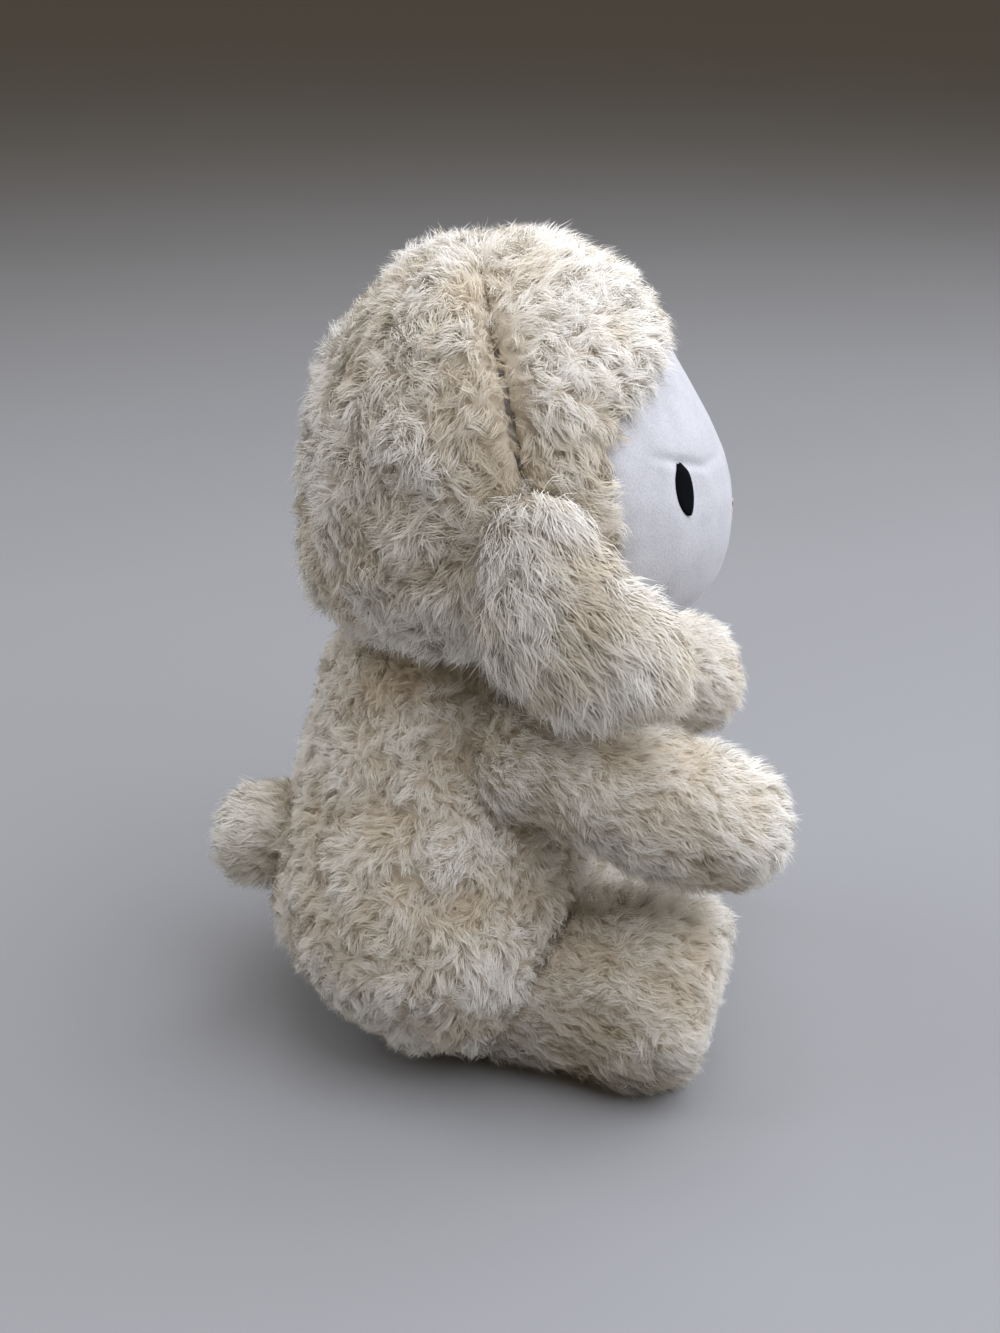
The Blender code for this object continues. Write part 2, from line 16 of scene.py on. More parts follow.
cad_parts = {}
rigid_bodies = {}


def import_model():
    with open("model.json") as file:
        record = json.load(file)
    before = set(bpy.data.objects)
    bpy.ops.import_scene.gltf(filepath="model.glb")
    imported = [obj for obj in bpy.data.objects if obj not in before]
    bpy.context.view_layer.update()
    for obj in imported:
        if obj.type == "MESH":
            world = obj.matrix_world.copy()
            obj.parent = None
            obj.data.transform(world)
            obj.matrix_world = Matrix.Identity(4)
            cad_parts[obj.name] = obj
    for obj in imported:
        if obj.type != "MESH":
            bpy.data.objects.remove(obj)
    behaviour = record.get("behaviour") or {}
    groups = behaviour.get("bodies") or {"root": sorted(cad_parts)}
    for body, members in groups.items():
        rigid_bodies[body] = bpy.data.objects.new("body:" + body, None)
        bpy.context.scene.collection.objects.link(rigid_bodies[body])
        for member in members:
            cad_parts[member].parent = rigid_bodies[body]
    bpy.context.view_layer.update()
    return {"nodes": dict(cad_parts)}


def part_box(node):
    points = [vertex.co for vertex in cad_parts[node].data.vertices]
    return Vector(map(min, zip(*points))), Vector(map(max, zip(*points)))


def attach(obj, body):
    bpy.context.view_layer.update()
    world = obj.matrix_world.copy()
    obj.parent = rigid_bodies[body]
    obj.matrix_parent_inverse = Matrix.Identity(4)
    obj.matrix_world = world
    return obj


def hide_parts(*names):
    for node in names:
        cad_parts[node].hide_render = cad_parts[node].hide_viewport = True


bl_info = {
    "name": "Plush Sheep Looks",
    "version": (1, 0, 0),
    "blender": (4, 5, 0),
    "location": "View3D > Sidebar > Sheep",
    "description": "Dresses a seated plush sheep in pile, short-pile cloth and embroidery",
    "category": "Add Mesh",
}

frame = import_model()
BOXES = {name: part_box(name) for name in frame["nodes"]}

MM = 0.001
SIDES = {"right": -1.0, "left": 1.0}
UP = Vector((0.0, 0.0, 1.0))

# Photographed view: the camera looks from the sheep's right side
PHOTO_HEIGHT = 1333
FOCAL_PIXELS = 1785.0
SENSOR = 36.0
VIEW_DISTANCE = 0.541
VIEW_ELEVATION = math.radians(23.0)
VIEW_TARGET = Vector((0.0, -0.0035, 0.115))


def linear(hex_colour):
    """Linear RGBA of an sRGB hex colour."""
    channels = [int(hex_colour[start:start + 2], 16) / 255 for start in (1, 3, 5)]
    curve = [c / 12.92 if c <= 0.04045 else ((c + 0.055) / 1.055) ** 2.4 for c in channels]
    return (*curve, 1.0)


def shaded(colour, share):
    """A colour with each channel multiplied by a share."""
    return (*(min(1.0, channel * share) for channel in colour[:3]), 1.0)


def clamp(value):
    """The value, kept from 0 to 1."""
    return max(0.0, min(1.0, value))


def bell(distance, width):
    """One at no distance, falling smoothly to nothing past the width."""
    return math.exp(-(distance / width) ** 2)


def length_setting(name, description, default):
    """A size in metres that the panel shows."""
    return FloatProperty(name=name, description=description, default=default, min=0.0, unit="LENGTH")


def colour_setting(name, description, hex_colour):
    """A colour that the panel shows."""
    return FloatVectorProperty(name=name, description=description, default=linear(hex_colour),
                               size=4, min=0.0, max=1.0, subtype="COLOR")


class SheepPileSettings(PropertyGroup):
    """Sizes of the long pile on the fur skins."""
    torso_length: length_setting("Torso pile", "Length of the pile on the torso", 5.5 * MM)
    head_length: length_setting("Head pile", "Length of the pile on the head", 7.0 * MM)
    ear_length: length_setting("Ear pile", "Length of the pile at the ears' roots", 7.5 * MM)
    limb_length: length_setting("Limb pile", "Length of the pile on arms and legs", 6.0 * MM)
    tail_length: length_setting("Tail pile", "Length of the pile on the tail", 6.5 * MM)
    sole_length: length_setting("Sole pile", "Length of the pile on the soles", 3.5 * MM)
    undercoat: length_setting(
        "Undercoat", "How far the dense foot of the pile stands off the skin", 2.2 * MM)
    strand_width: length_setting("Strand width", "Width of a strand at its root", 0.18 * MM)
    tuft_size: length_setting("Tuft size", "Distance from one tuft of the pile to the next", 17.0 * MM)
    ruffle_size: length_setting("Ruffle size", "Distance over which the pile turns", 11.0 * MM)
    curl_size: length_setting("Curl size", "Distance over which tips curl another way", 4.0 * MM)
    curl_reach: length_setting("Curl reach", "How far a curl moves a strand's tip", 6.0 * MM)
    locks_per_mm2: FloatProperty(
        name="Locks per mm2", description="Locks of pile on each square millimetre of skin",
        default=0.31, min=0.0)
    strands: IntProperty(
        name="Strands in a lock", description="Strands that lie together in one lock",
        default=16, min=1)


class SheepColourSettings(PropertyGroup):
    """Colours of cloth and thread."""
    # Darker than the middle and tip: painted shade deep in the pile, near the skin
    pile_root_shade: colour_setting("Pile root", "Fur near the skin", "#ece4d6")
    pile_middle: colour_setting("Pile middle", "Fur halfway up", "#f8f4ea")
    pile_tip: colour_setting("Pile tip", "Fur at its tips", "#fffcf4")
    # Painted shade for locks low between tufts, in the seam valley and near seams; each strand's random
    # tint draws on it too
    pile_shade_and_tint: colour_setting("Pile shade and tint", "What low and shaded locks are tinted with", "#e9deca")
    backing: colour_setting("Backing", "Knitted cloth that carries the pile", "#e3d8c4")
    face: colour_setting("Face", "Short-pile cloth of the face", "#d8d9dd")
    eye: colour_setting("Eye thread", "Embroidery of the eyes", "#020309")
    nose: colour_setting("Nose thread", "Embroidery of the nose", "#e6d5cf")
    stuffing: colour_setting("Stuffing", "Polyester fibre inside", "#f0f0ee")
    bag: colour_setting("Bag", "Cloth of the pellet bag", "#d5d9dc")
    floor: colour_setting("Floor", "Plain pale floor", "#9b9c9e")


class SheepFaceSettings(PropertyGroup):
    """Sizes of the face's creases and embroidery."""
    fullness: length_setting("Fullness", "How far the stuffing rounds the face out", 1.8 * MM)
    dimple_depth: length_setting("Dimple", "How far the eyes are drawn in", 1.3 * MM)
    dimple_size: length_setting("Dimple size", "How wide an eye's hollow is", 7.0 * MM)
    crease_depth: length_setting("Crease", "Depth of the fold from an eye to the middle", 0.9 * MM)
    crease_width: length_setting("Crease width", "Width of that fold", 1.5 * MM)
    eye_shift: length_setting("Eye shift", "How far the eyes' thread lies to the front", 1.0 * MM)
    thread: length_setting("Thread", "Width of an embroidery thread", 0.42 * MM)


def add(tree, kind, sockets=None, stops=(), **settings):
    """Add one node: its properties, a value or a link for each input named, and a ramp's stops."""
    node = tree.nodes.new(kind)
    for key, value in settings.items():
        setattr(node, key, value)
    for key, value in (sockets or {}).items():
        if isinstance(value, bpy.types.Node):
            value = value.outputs[0]
        if isinstance(value, bpy.types.NodeSocket):
            tree.links.new(value, node.inputs[key])
        else:
            node.inputs[key].default_value = value
    for number, (place, colour) in enumerate(stops):
        elements = node.color_ramp.elements
        element = elements[number] if number < len(elements) else elements.new(place)
        element.position = place
        element.color = colour
    return node


def new_material(name):
    """A material with an empty node tree."""
    material = bpy.data.materials.new(name)
    material.use_nodes = True
    material.node_tree.nodes.clear()
    return material


# The pile's own map: its tint and painted shade across, and up from root, painted in shade, to tip above
# this, with the backing below
PILE_FROM = 0.25
BACKING_ACROSS = 2.0
BACKING_UP = 0.6
KNIT_SIZE = 8.0 * MM


def pile_material(colours):
    """Long polyester plush pile: cream, whiter along it and white at the tip, with painted shade at the
    root and on locks low between tufts.
    """
    material = new_material("polyester_plush_pile")
    tree = material.node_tree
    place = add(tree, "ShaderNodeSeparateXYZ", {0: add(tree, "ShaderNodeUVMap", uv_map="pile_uv")})
    # Darker towards the root: painted shade deep in the pile
    along = add(tree, "ShaderNodeValToRGB", {"Fac": place.outputs["Y"]}, stops=(
        (PILE_FROM, colours.pile_root_shade), (0.55, colours.pile_middle), (0.85, colours.pile_tip)))
    # Across the map: painted shade on low locks, with a little random tint of each strand
    tint = add(tree, "ShaderNodeValToRGB", {"Fac": place.outputs["X"]}, stops=(
        (0.05, colours.pile_shade_and_tint), (0.65, linear("#ffffff"))))
    mixed = add(tree, "ShaderNodeMix", {0: 1.0, 6: along, 7: tint},
                data_type="RGBA", blend_type="MULTIPLY")
    shader = add(tree, "ShaderNodeBsdfPrincipled", {
        "Base Color": mixed.outputs[2], "Roughness": 0.75, "Specular IOR Level": 0.15,
        "Sheen Weight": 0.4, "Sheen Roughness": 0.5})
    add(tree, "ShaderNodeOutputMaterial", {"Surface": shader})
    return material


def backing_material(colours):
    """Knitted plush backing with the dense foot of its pile: matt cream where the pile parts."""
    material = new_material("knitted_plush_backing")
    tree = material.node_tree
    place = add(tree, "ShaderNodeVectorMath", {
        0: add(tree, "ShaderNodeUVMap", uv_map="pile_uv"),
        1: (1 / BACKING_ACROSS, 1 / BACKING_UP, 0.0)}, operation="MULTIPLY")
    knit = add(tree, "ShaderNodeTexNoise", {"Vector": place, "Scale": 1 / KNIT_SIZE, "Detail": 2.0})
    colour = add(tree, "ShaderNodeValToRGB", {"Fac": knit}, stops=(
        (0.35, shaded(colours.backing, 0.85)), (0.65, colours.backing)))
    shader = add(tree, "ShaderNodeBsdfPrincipled", {"Base Color": colour, "Roughness": 0.95})
    add(tree, "ShaderNodeOutputMaterial", {"Surface": shader})
    return material


BRUSH_SIZE = 11.0 * MM
NAP_SIZE = 0.55 * MM


def velboa_material(colours):
    """Velboa, a short brushed pile: nearly smooth, with faint brushed patches and a soft sheen.

    The nap's grain is drawn coarser than the real pile, so that it shows.
    """
    material = new_material("velboa_short_pile")
    tree = material.node_tree
    place = add(tree, "ShaderNodeTexCoord").outputs["Object"]
    brushed = add(tree, "ShaderNodeTexNoise", {
        "Vector": place, "Scale": 1 / BRUSH_SIZE, "Detail": 3.0})
    nap = add(tree, "ShaderNodeTexNoise", {"Vector": place, "Scale": 1 / NAP_SIZE, "Detail": 2.0})
    patches = add(tree, "ShaderNodeValToRGB", {"Fac": brushed}, stops=(
        (0.35, shaded(colours.face, 0.90)), (0.60, colours.face)))
    grain = add(tree, "ShaderNodeValToRGB", {"Fac": nap}, stops=(
        (0.35, linear("#f0eff1")), (0.60, linear("#ffffff"))))
    colour = add(tree, "ShaderNodeMix", {0: 1.0, 6: patches, 7: grain},
                 data_type="RGBA", blend_type="MULTIPLY")
    bump = add(tree, "ShaderNodeBump", {"Strength": 0.4, "Distance": 0.25 * MM, "Height": nap})
    shader = add(tree, "ShaderNodeBsdfPrincipled", {
        "Base Color": colour.outputs[2], "Roughness": 0.9, "Normal": bump,
        "Sheen Weight": 0.2, "Sheen Roughness": 0.4})
    add(tree, "ShaderNodeOutputMaterial", {"Surface": shader})
    return material


def thread_material(name, colour, thread):
    """Rayon embroidery thread, laid close: nearly matt, with the twist of its plies."""
    material = new_material(name)
    tree = material.node_tree
    place = add(tree, "ShaderNodeTexCoord").outputs["Object"]
    plies = add(tree, "ShaderNodeTexNoise", {"Vector": place, "Scale": 1 / thread, "Detail": 1.0})
    shades = add(tree, "ShaderNodeValToRGB", {"Fac": plies}, stops=(
        (0.4, shaded(colour, 0.8)), (0.7, shaded(colour, 1.2))))
    shader = add(tree, "ShaderNodeBsdfPrincipled", {
        "Base Color": shades, "Roughness": 0.7, "Specular IOR Level": 0.08})
    add(tree, "ShaderNodeOutputMaterial", {"Surface": shader})
    return material


def filling_material(name, colour, size):
    """Crimped polyester fibre or thin spun bag cloth: matt white with soft mottling."""
    material = new_material(name)
    tree = material.node_tree
    place = add(tree, "ShaderNodeTexCoord").outputs["Object"]
    mottle = add(tree, "ShaderNodeTexNoise", {
        "Vector": place, "Scale": 1 / size, "Detail": 4.0, "Distortion": 1.0})
    shades = add(tree, "ShaderNodeValToRGB", {"Fac": mottle}, stops=(
        (0.35, shaded(colour, 0.8)), (0.6, colour)))
    bump = add(tree, "ShaderNodeBump", {"Strength": 0.5, "Distance": 0.5 * MM, "Height": mottle})
    shader = add(tree, "ShaderNodeBsdfPrincipled", {
        "Base Color": shades, "Roughness": 0.95, "Normal": bump})
    add(tree, "ShaderNodeOutputMaterial", {"Surface": shader})
    return material


FLOOR_PATCH = 300.0 * MM


def floor_material(colours):
    """Painted board: pale and matt, with barely seen broad patches."""
    material = new_material("matt_painted_board")
    tree = material.node_tree
    place = add(tree, "ShaderNodeTexCoord").outputs["Object"]
    patches = add(tree, "ShaderNodeTexNoise", {"Vector": place, "Scale": 1 / FLOOR_PATCH})
    colour = add(tree, "ShaderNodeValToRGB", {"Fac": patches}, stops=(
        (0.3, shaded(colours.floor, 0.97)), (0.7, colours.floor)))
    shader = add(tree, "ShaderNodeBsdfPrincipled", {"Base Color": colour, "Roughness": 0.8})
    add(tree, "ShaderNodeOutputMaterial", {"Surface": shader})
    return material


def as_object(name, data):
    """A new object linked to the scene."""
    thing = bpy.data.objects.new(name, data)
    bpy.context.scene.collection.objects.link(thing)
    return thing


def applied(thing):
    """Replace an object's mesh by its evaluated one and drop its modifiers."""
    graph = bpy.context.evaluated_depsgraph_get()
    mesh = bpy.data.meshes.new_from_object(thing.evaluated_get(graph))
    old = thing.data
    thing.modifiers.clear()
    thing.data = mesh
    bpy.data.meshes.remove(old)
    return thing


def joined(name, pieces):
    """Join mesh objects into the first of them."""
    bpy.ops.object.select_all(action="DESELECT")
    for piece in pieces:
        piece.select_set(True)
    bpy.context.view_layer.objects.active = pieces[0]
    bpy.ops.object.join()
    pieces[0].name = name
    return pieces[0]


MERGE = 0.001 * MM


def soft_copy(name, node, voxel, rounds, keep=1.0):
    """Evenly meshed, rounded copy of a CAD node, with a share of its faces kept."""
    bm = bmesh.new()
    bm.from_mesh(frame["nodes"][node].data)
    bmesh.ops.remove_doubles(bm, verts=bm.verts[:], dist=MERGE)
    mesh = bpy.data.meshes.new(name)
    bm.to_mesh(mesh)
    bm.free()
    thing = as_object(name, mesh)
    modifier = thing.modifiers.new("Even", "REMESH")
    modifier.mode = "VOXEL"
    modifier.voxel_size = voxel
    modifier = thing.modifiers.new("Round", "SMOOTH")
    modifier.factor = 0.5
    modifier.iterations = rounds
    if keep < 1.0:
        modifier = thing.modifiers.new("Fewer faces", "DECIMATE")
        modifier.ratio = keep
    applied(thing)
    thing.data.shade_smooth()
    return thing


def declare(thing, body, node):
    """Hang a piece on the body it rides on and hide the CAD node that it stands for."""
    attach(thing, body)
    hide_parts(node)


ARM_SAG = 4.5 * MM
TAIL_SAG = 2.5 * MM
CROWN_SAG = 3.5 * MM
SOLE_TUCK = 16.0 * MM
SOLE_NARROWS = 0.25
EAR_SLIM = 0.3
EAR_ACROSS = Vector((0.0, -0.84, 0.55))


def shares_along(node, point):
    """How far a point lies through a node's box, from its low to its high corner, on each axis."""
    low, high = BOXES[node]
    return [clamp((point[axis] - low[axis]) / (high[axis] - low[axis])) for axis in range(3)]


def settle(mesh, node):
    """Give a soft piece its hang: arms, tail and crown sag, a foot rounds under, an ear is slim."""
    side = node.split("_")[0]
    for vert in mesh.vertices:
        if "_arm_" in node:
            vert.co.z -= ARM_SAG * (1.0 - shares_along(f"{side}_arm_skin", vert.co)[1]) ** 2
        elif node.startswith("tail"):
            vert.co.z -= TAIL_SAG * shares_along("tail_skin", vert.co)[1] ** 2
        elif node in ("head_back_panel", "brow_band", "head_filling"):
            height = shares_along("head_back_panel", vert.co)[2]
            vert.co.z -= CROWN_SAG * max(0.0, 2.0 * height - 1.0) ** 2
        elif "_leg_" in node or node.endswith("_sole"):
            shares = shares_along(f"{side}_leg_skin", vert.co)
            middle = sum(corner.x for corner in BOXES[f"{side}_sole"]) / 2
            under = (1.0 - shares[1]) ** 4 * (1.0 - shares[2]) ** 3
            vert.co.y += SOLE_TUCK * under
            vert.co.x += (middle - vert.co.x) * SOLE_NARROWS * under
        elif "_ear" in node:
            out = (vert.co - sum(BOXES[f"{side}_ear"], Vector()) / 2).dot(EAR_ACROSS)
            vert.co -= EAR_ACROSS * (EAR_SLIM * max(0.0, out))


def node_trees():
    """A search tree of each CAD node's surface."""
    trees = {}
    for name, node in frame["nodes"].items():
        points = [vert.co for vert in node.data.vertices]
        faces = [tuple(face.vertices) for face in node.data.polygons]
        trees[name] = BVHTree.FromPolygons(points, faces)
    return trees


NODE_TREES = node_trees()
EMBROIDERY = ("right_eye", "left_eye", "nose_stitching")

# The pile is bare up to the first distance from another cloth and full from the second
SEAM_BARE = 0.2 * MM
SEAM_FULL = 1.6 * MM
COVERED_WITHIN = 3.0 * MM
PAIR_GAP = 1.2 * MM

# Nodes whose seams a node's pile hides, where it counts them as its own cloth
RUNS_OVER = {
    "head_back_panel": ("head_back_panel", "brow_band"),
    "brow_band": ("brow_band", "head_back_panel", "face_panel"),
    "right_leg_skin": ("right_leg_skin", "right_sole"),
    "left_leg_skin": ("left_leg_skin", "left_sole"),
}

# Over the seam from the crown to the ear the pile lies low, in a valley that fades at the crown, and its
# locks there get painted shade
VALLEYS = {"head_back_panel": "brow_band", "brow_band": "head_back_panel"}
VALLEY_DEPTH = 1.2
VALLEY_WIDTH = 5.5 * MM
VALLEY_TOP = 0.240
VALLEY_FADE = 20.0 * MM


def distance_to(node, point, limit):
    """How far a point is from a CAD node, up to a limit."""
    found = NODE_TREES[node].find_nearest(point, limit)
    return limit if found[3] is None else found[3]


def cover_share(point, normal, own):
    """How full the pile is at a point: none in a seam or where a piece lies close over it."""
    near = SEAM_FULL
    start = point + normal * PAIR_GAP
    for name, tree in NODE_TREES.items():
        if name in EMBROIDERY:
            continue
        if name not in own:
            near = min(near, distance_to(name, point, SEAM_FULL))
            if "filling" in name and near < SEAM_FULL:
                return 0.0
        if tree.ray_cast(start, normal, COVERED_WITHIN)[0] is not None:
            return 0.0
    return clamp((near - SEAM_BARE) / (SEAM_FULL - SEAM_BARE))


def mark_cover(mesh, node):
    """Store on each vertex of a skin how full its pile is and how high its undercoat stands, which also
    sets the painted shade of its locks.
    """
    own = RUNS_OVER.get(node, (node,))
    covers, lofts = [], []
    for vert in mesh.vertices:
        share = cover_share(vert.co, vert.normal, own)
        covers.append(share)
        if node in VALLEYS:
            away = distance_to(VALLEYS[node], vert.co, VALLEY_WIDTH * 2)
            lowness = clamp((VALLEY_TOP - vert.co.z) / VALLEY_FADE)
            share *= 1.0 - VALLEY_DEPTH * bell(away, VALLEY_WIDTH) * lowness
        lofts.append(share)
    mesh.attributes.new("cover", "FLOAT", "POINT").data.foreach_set("value", covers)
    mesh.attributes.new("loft", "FLOAT", "POINT").data.foreach_set("value", lofts)


LOCK_KINDS = 6
LOCK_SPREAD = 0.32
LOCK_GATHER = 0.3
LOCK_SCATTER = 0.14
STRAND_BULGE = 0.16
STRAND_TURN = 0.4


def lock_mesh(name, seed, strands, width):
    """A lock of flat tapered strands, one unit long up Z, that lean together and bulge towards Y."""
    rng = random.Random(seed)
    bm = bmesh.new()
    along = bm.verts.layers.float.new("along")
    shade = bm.verts.layers.float.new("shade")
    for _ in range(strands):
        turn, out = rng.uniform(0.0, math.tau), LOCK_SPREAD * math.sqrt(rng.random())
        root = Vector((math.cos(turn) * out, math.sin(turn) * out, 0.0))
        scatter = (rng.gauss(0, LOCK_SCATTER), rng.gauss(0, LOCK_SCATTER), rng.uniform(0.7, 1.1))
        tip = root * LOCK_GATHER + Vector(scatter)
        middle = (root + tip) / 2 + Vector((rng.gauss(0, 0.04), STRAND_BULGE * rng.uniform(0.5, 1.3), 0))
        face_turn = rng.uniform(-STRAND_TURN, STRAND_TURN)
        aside = Vector((math.cos(face_turn), math.sin(face_turn), 0.0)) * (width / 2)
        tint = rng.uniform(0.05, 0.93)
        verts = []
        for centre, share, height in ((root, 1.0, 0.0), (middle, 0.85, 0.5)):
            for side in (-1.0, 1.0):
                vert = bm.verts.new(centre + aside * (side * share))
                vert[along] = height
                vert[shade] = tint + 0.01 * side
                verts.append(vert)
        vert = bm.verts.new(tip)
        vert[along] = 1.0
        vert[shade] = tint
        bm.faces.new((verts[0], verts[1], verts[3], verts[2]))
        bm.faces.new((verts[2], verts[3], vert))
    mesh = bpy.data.meshes.new(name)
    bm.to_mesh(mesh)
    bm.free()
    mesh.shade_smooth()
    return mesh


def new_tree(name, inputs):
    """A geometry nodes tree with its named inputs, and the outputs that give them."""
    tree = bpy.data.node_groups.new(name, "GeometryNodeTree")
    tree.interface.new_socket("Geometry", in_out="INPUT", socket_type="NodeSocketGeometry")
    tree.interface.new_socket("Geometry", in_out="OUTPUT", socket_type="NodeSocketGeometry")
    for word, kind in inputs.items():
        tree.interface.new_socket(word, in_out="INPUT", socket_type=kind)
    return tree, add(tree, "NodeGroupInput").outputs


def set_inputs(modifier, values):
    """Set a geometry nodes modifier's inputs, which are named, by their identifiers."""
    for item in modifier.node_group.interface.items_tree:
        if item.item_type == "SOCKET" and item.in_out == "INPUT" and item.name in values:
            modifier[item.identifier] = values[item.name]


PILE_INPUTS = {
    "Locks": "NodeSocketCollection",
    "Locks per area": "NodeSocketFloat",
    "Pile length": "NodeSocketFloat",
    "Tip growth": "NodeSocketFloat",
    "Grown at": "NodeSocketFloat",
    "Undercoat": "NodeSocketFloat",
    "Low rise": "NodeSocketFloat",
    "High rise": "NodeSocketFloat",
    "Way": "NodeSocketVector",
    "Whorl": "NodeSocketVector",
    "Whorl share": "NodeSocketFloat",
    "Tuft size": "NodeSocketFloat",
    "Ruffle": "NodeSocketFloat",
    "Ruffle size": "NodeSocketFloat",
    "Stray": "NodeSocketFloat",
    "Curl size": "NodeSocketFloat",
    "Curl reach": "NodeSocketFloat",
    "Twist": "NodeSocketFloat",
    "Seed": "NodeSocketInt",
    "Pile": "NodeSocketMaterial",
    "Backing": "NodeSocketMaterial",
}
HALF = (0.5, 0.5, 0.5)
FLOOR_CLEARANCE = 0.3 * MM
# Locks stand no closer than this share of their mean distance, so that no bare spots are left
LOCK_DISTANCE = 0.75
LOCK_OVERSHOOT = 2.5
# A strand is shaded mostly like the skin under it, so that the pile looks soft
OWN_NORMAL = 0.6
# How the height of the undercoat and the rise of the strands change from tuft to tuft
TUFT_HEIGHTS = (0.1, 1.7)
TUFT_RISES = (0.7, 1.3)
# How much of a strand's tint comes from its tuft's height: locks low between tufts get painted shade
PAINTED_SHADE_BY_HEIGHT = 0.85


def lumps(tree, where, size, low, high):
    """Smooth noise of a given size that runs from low to high."""
    scale = add(tree, "ShaderNodeMath", {0: 1.0, 1: size}, operation="DIVIDE")
    grain = add(tree, "ShaderNodeTexNoise", {"Vector": where, "Scale": scale, "Detail": 2.0})
    return add(tree, "ShaderNodeMapRange", {
        "Value": grain, "From Min": 0.3, "From Max": 0.7, "To Min": low, "To Max": high})


def swirl(tree, where, size, reach):
    """Vector noise of a given size and reach."""
    scale = add(tree, "ShaderNodeMath", {0: 1.0, 1: size}, operation="DIVIDE")
    grain = add(tree, "ShaderNodeTexNoise", {"Vector": where, "Scale": scale, "Detail": 1.0})
    centred = add(tree, "ShaderNodeVectorMath", {0: grain.outputs["Color"], 1: HALF},
                  operation="SUBTRACT")
    return add(tree, "ShaderNodeVectorMath", {0: centred, "Scale": reach}, operation="SCALE")


def pile_skin(tree, given, where):
    """The skin raised to its undercoat, with its height, which also sets the painted shade of its locks,
    and the way out of it on every point.
    """
    normal = add(tree, "GeometryNodeInputNormal")
    loft = add(tree, "GeometryNodeInputNamedAttribute", {"Name": "loft"}, data_type="FLOAT")
    height = lumps(tree, where, given["Tuft size"], *TUFT_HEIGHTS)
    height = add(tree, "ShaderNodeMath", {0: height, 1: loft}, operation="MULTIPLY")
    skin = add(tree, "GeometryNodeStoreNamedAttribute", {
        0: given["Geometry"], "Name": "height"}, data_type="FLOAT", domain="POINT")
    tree.links.new(height.outputs[0], skin.inputs["Value"])
    thick = add(tree, "ShaderNodeMath", {0: height, 1: given["Undercoat"]}, operation="MULTIPLY")
    offset = add(tree, "ShaderNodeVectorMath", {0: normal, "Scale": thick}, operation="SCALE")
    raised = add(tree, "GeometryNodeSetPosition", {0: skin, "Offset": offset})
    skin = add(tree, "GeometryNodeStoreNamedAttribute", {
        0: raised, "Name": "outward"}, data_type="FLOAT_VECTOR", domain="POINT")
    tree.links.new(normal.outputs[0], skin.inputs["Value"])
    return skin


def pile_directions(tree, given, where, normal):
    """The way each lock points: along the skin by flow, whorl, ruffle and chance, and off it."""
    away = add(tree, "ShaderNodeVectorMath", {0: where, 1: given["Whorl"]}, operation="SUBTRACT")
    away = add(tree, "ShaderNodeVectorMath", {0: away}, operation="NORMALIZE")
    away = add(tree, "ShaderNodeVectorMath", {0: away, "Scale": given["Whorl share"]},
               operation="SCALE")
    ruffle = swirl(tree, where, given["Ruffle size"], given["Ruffle"])
    field = add(tree, "ShaderNodeVectorMath", {0: given["Way"], 1: away}, operation="ADD")
    field = add(tree, "ShaderNodeVectorMath", {0: field, 1: ruffle}, operation="ADD")
    stray = add(tree, "FunctionNodeRandomValue", {
        0: (-1.0, -1.0, -1.0), 1: (1.0, 1.0, 1.0), "Seed": given["Seed"]},
        data_type="FLOAT_VECTOR")
    stray = add(tree, "ShaderNodeVectorMath", {0: stray, "Scale": given["Stray"]},
                operation="SCALE")
    field = add(tree, "ShaderNodeVectorMath", {0: field, 1: stray}, operation="ADD")
    through = add(tree, "ShaderNodeVectorMath", {0: field, 1: normal}, operation="PROJECT")
    flat = add(tree, "ShaderNodeVectorMath", {0: field, 1: through}, operation="SUBTRACT")
    flat = add(tree, "ShaderNodeVectorMath", {0: flat}, operation="NORMALIZE")
    rise = add(tree, "FunctionNodeRandomValue", {
        2: given["Low rise"], 3: given["High rise"], "Seed": given["Seed"]}, data_type="FLOAT")
    tuft = lumps(tree, where, given["Tuft size"], *TUFT_RISES)
    rise = add(tree, "ShaderNodeMath", {0: rise.outputs[1], 1: tuft}, operation="MULTIPLY")
    lift = add(tree, "ShaderNodeVectorMath", {0: normal, "Scale": rise}, operation="SCALE")
    return add(tree, "ShaderNodeVectorMath", {0: flat, 1: lift}, operation="ADD")


def lock_turns(tree, given, direction, normal):
    """Turn each lock along its way, with the flat of its strands out of the skin, give or take a twist."""
    turn = add(tree, "FunctionNodeAlignRotationToVector", {"Vector": direction}, axis="Z")
    turn = add(tree, "FunctionNodeAlignRotationToVector", {
        "Rotation": turn, "Vector": normal}, axis="Y", pivot_axis="Z")
    least = add(tree, "ShaderNodeMath", {0: given["Twist"], 1: -1.0}, operation="MULTIPLY")
    twist = add(tree, "FunctionNodeRandomValue", {
        2: least, 3: given["Twist"], "Seed": given["Seed"]}, data_type="FLOAT")
    twist = add(tree, "FunctionNodeAxisAngleToRotation", {"Axis": UP, "Angle": twist.outputs[1]})
    return add(tree, "FunctionNodeRotateRotation", {0: turn, 1: twist}, rotation_space="LOCAL")


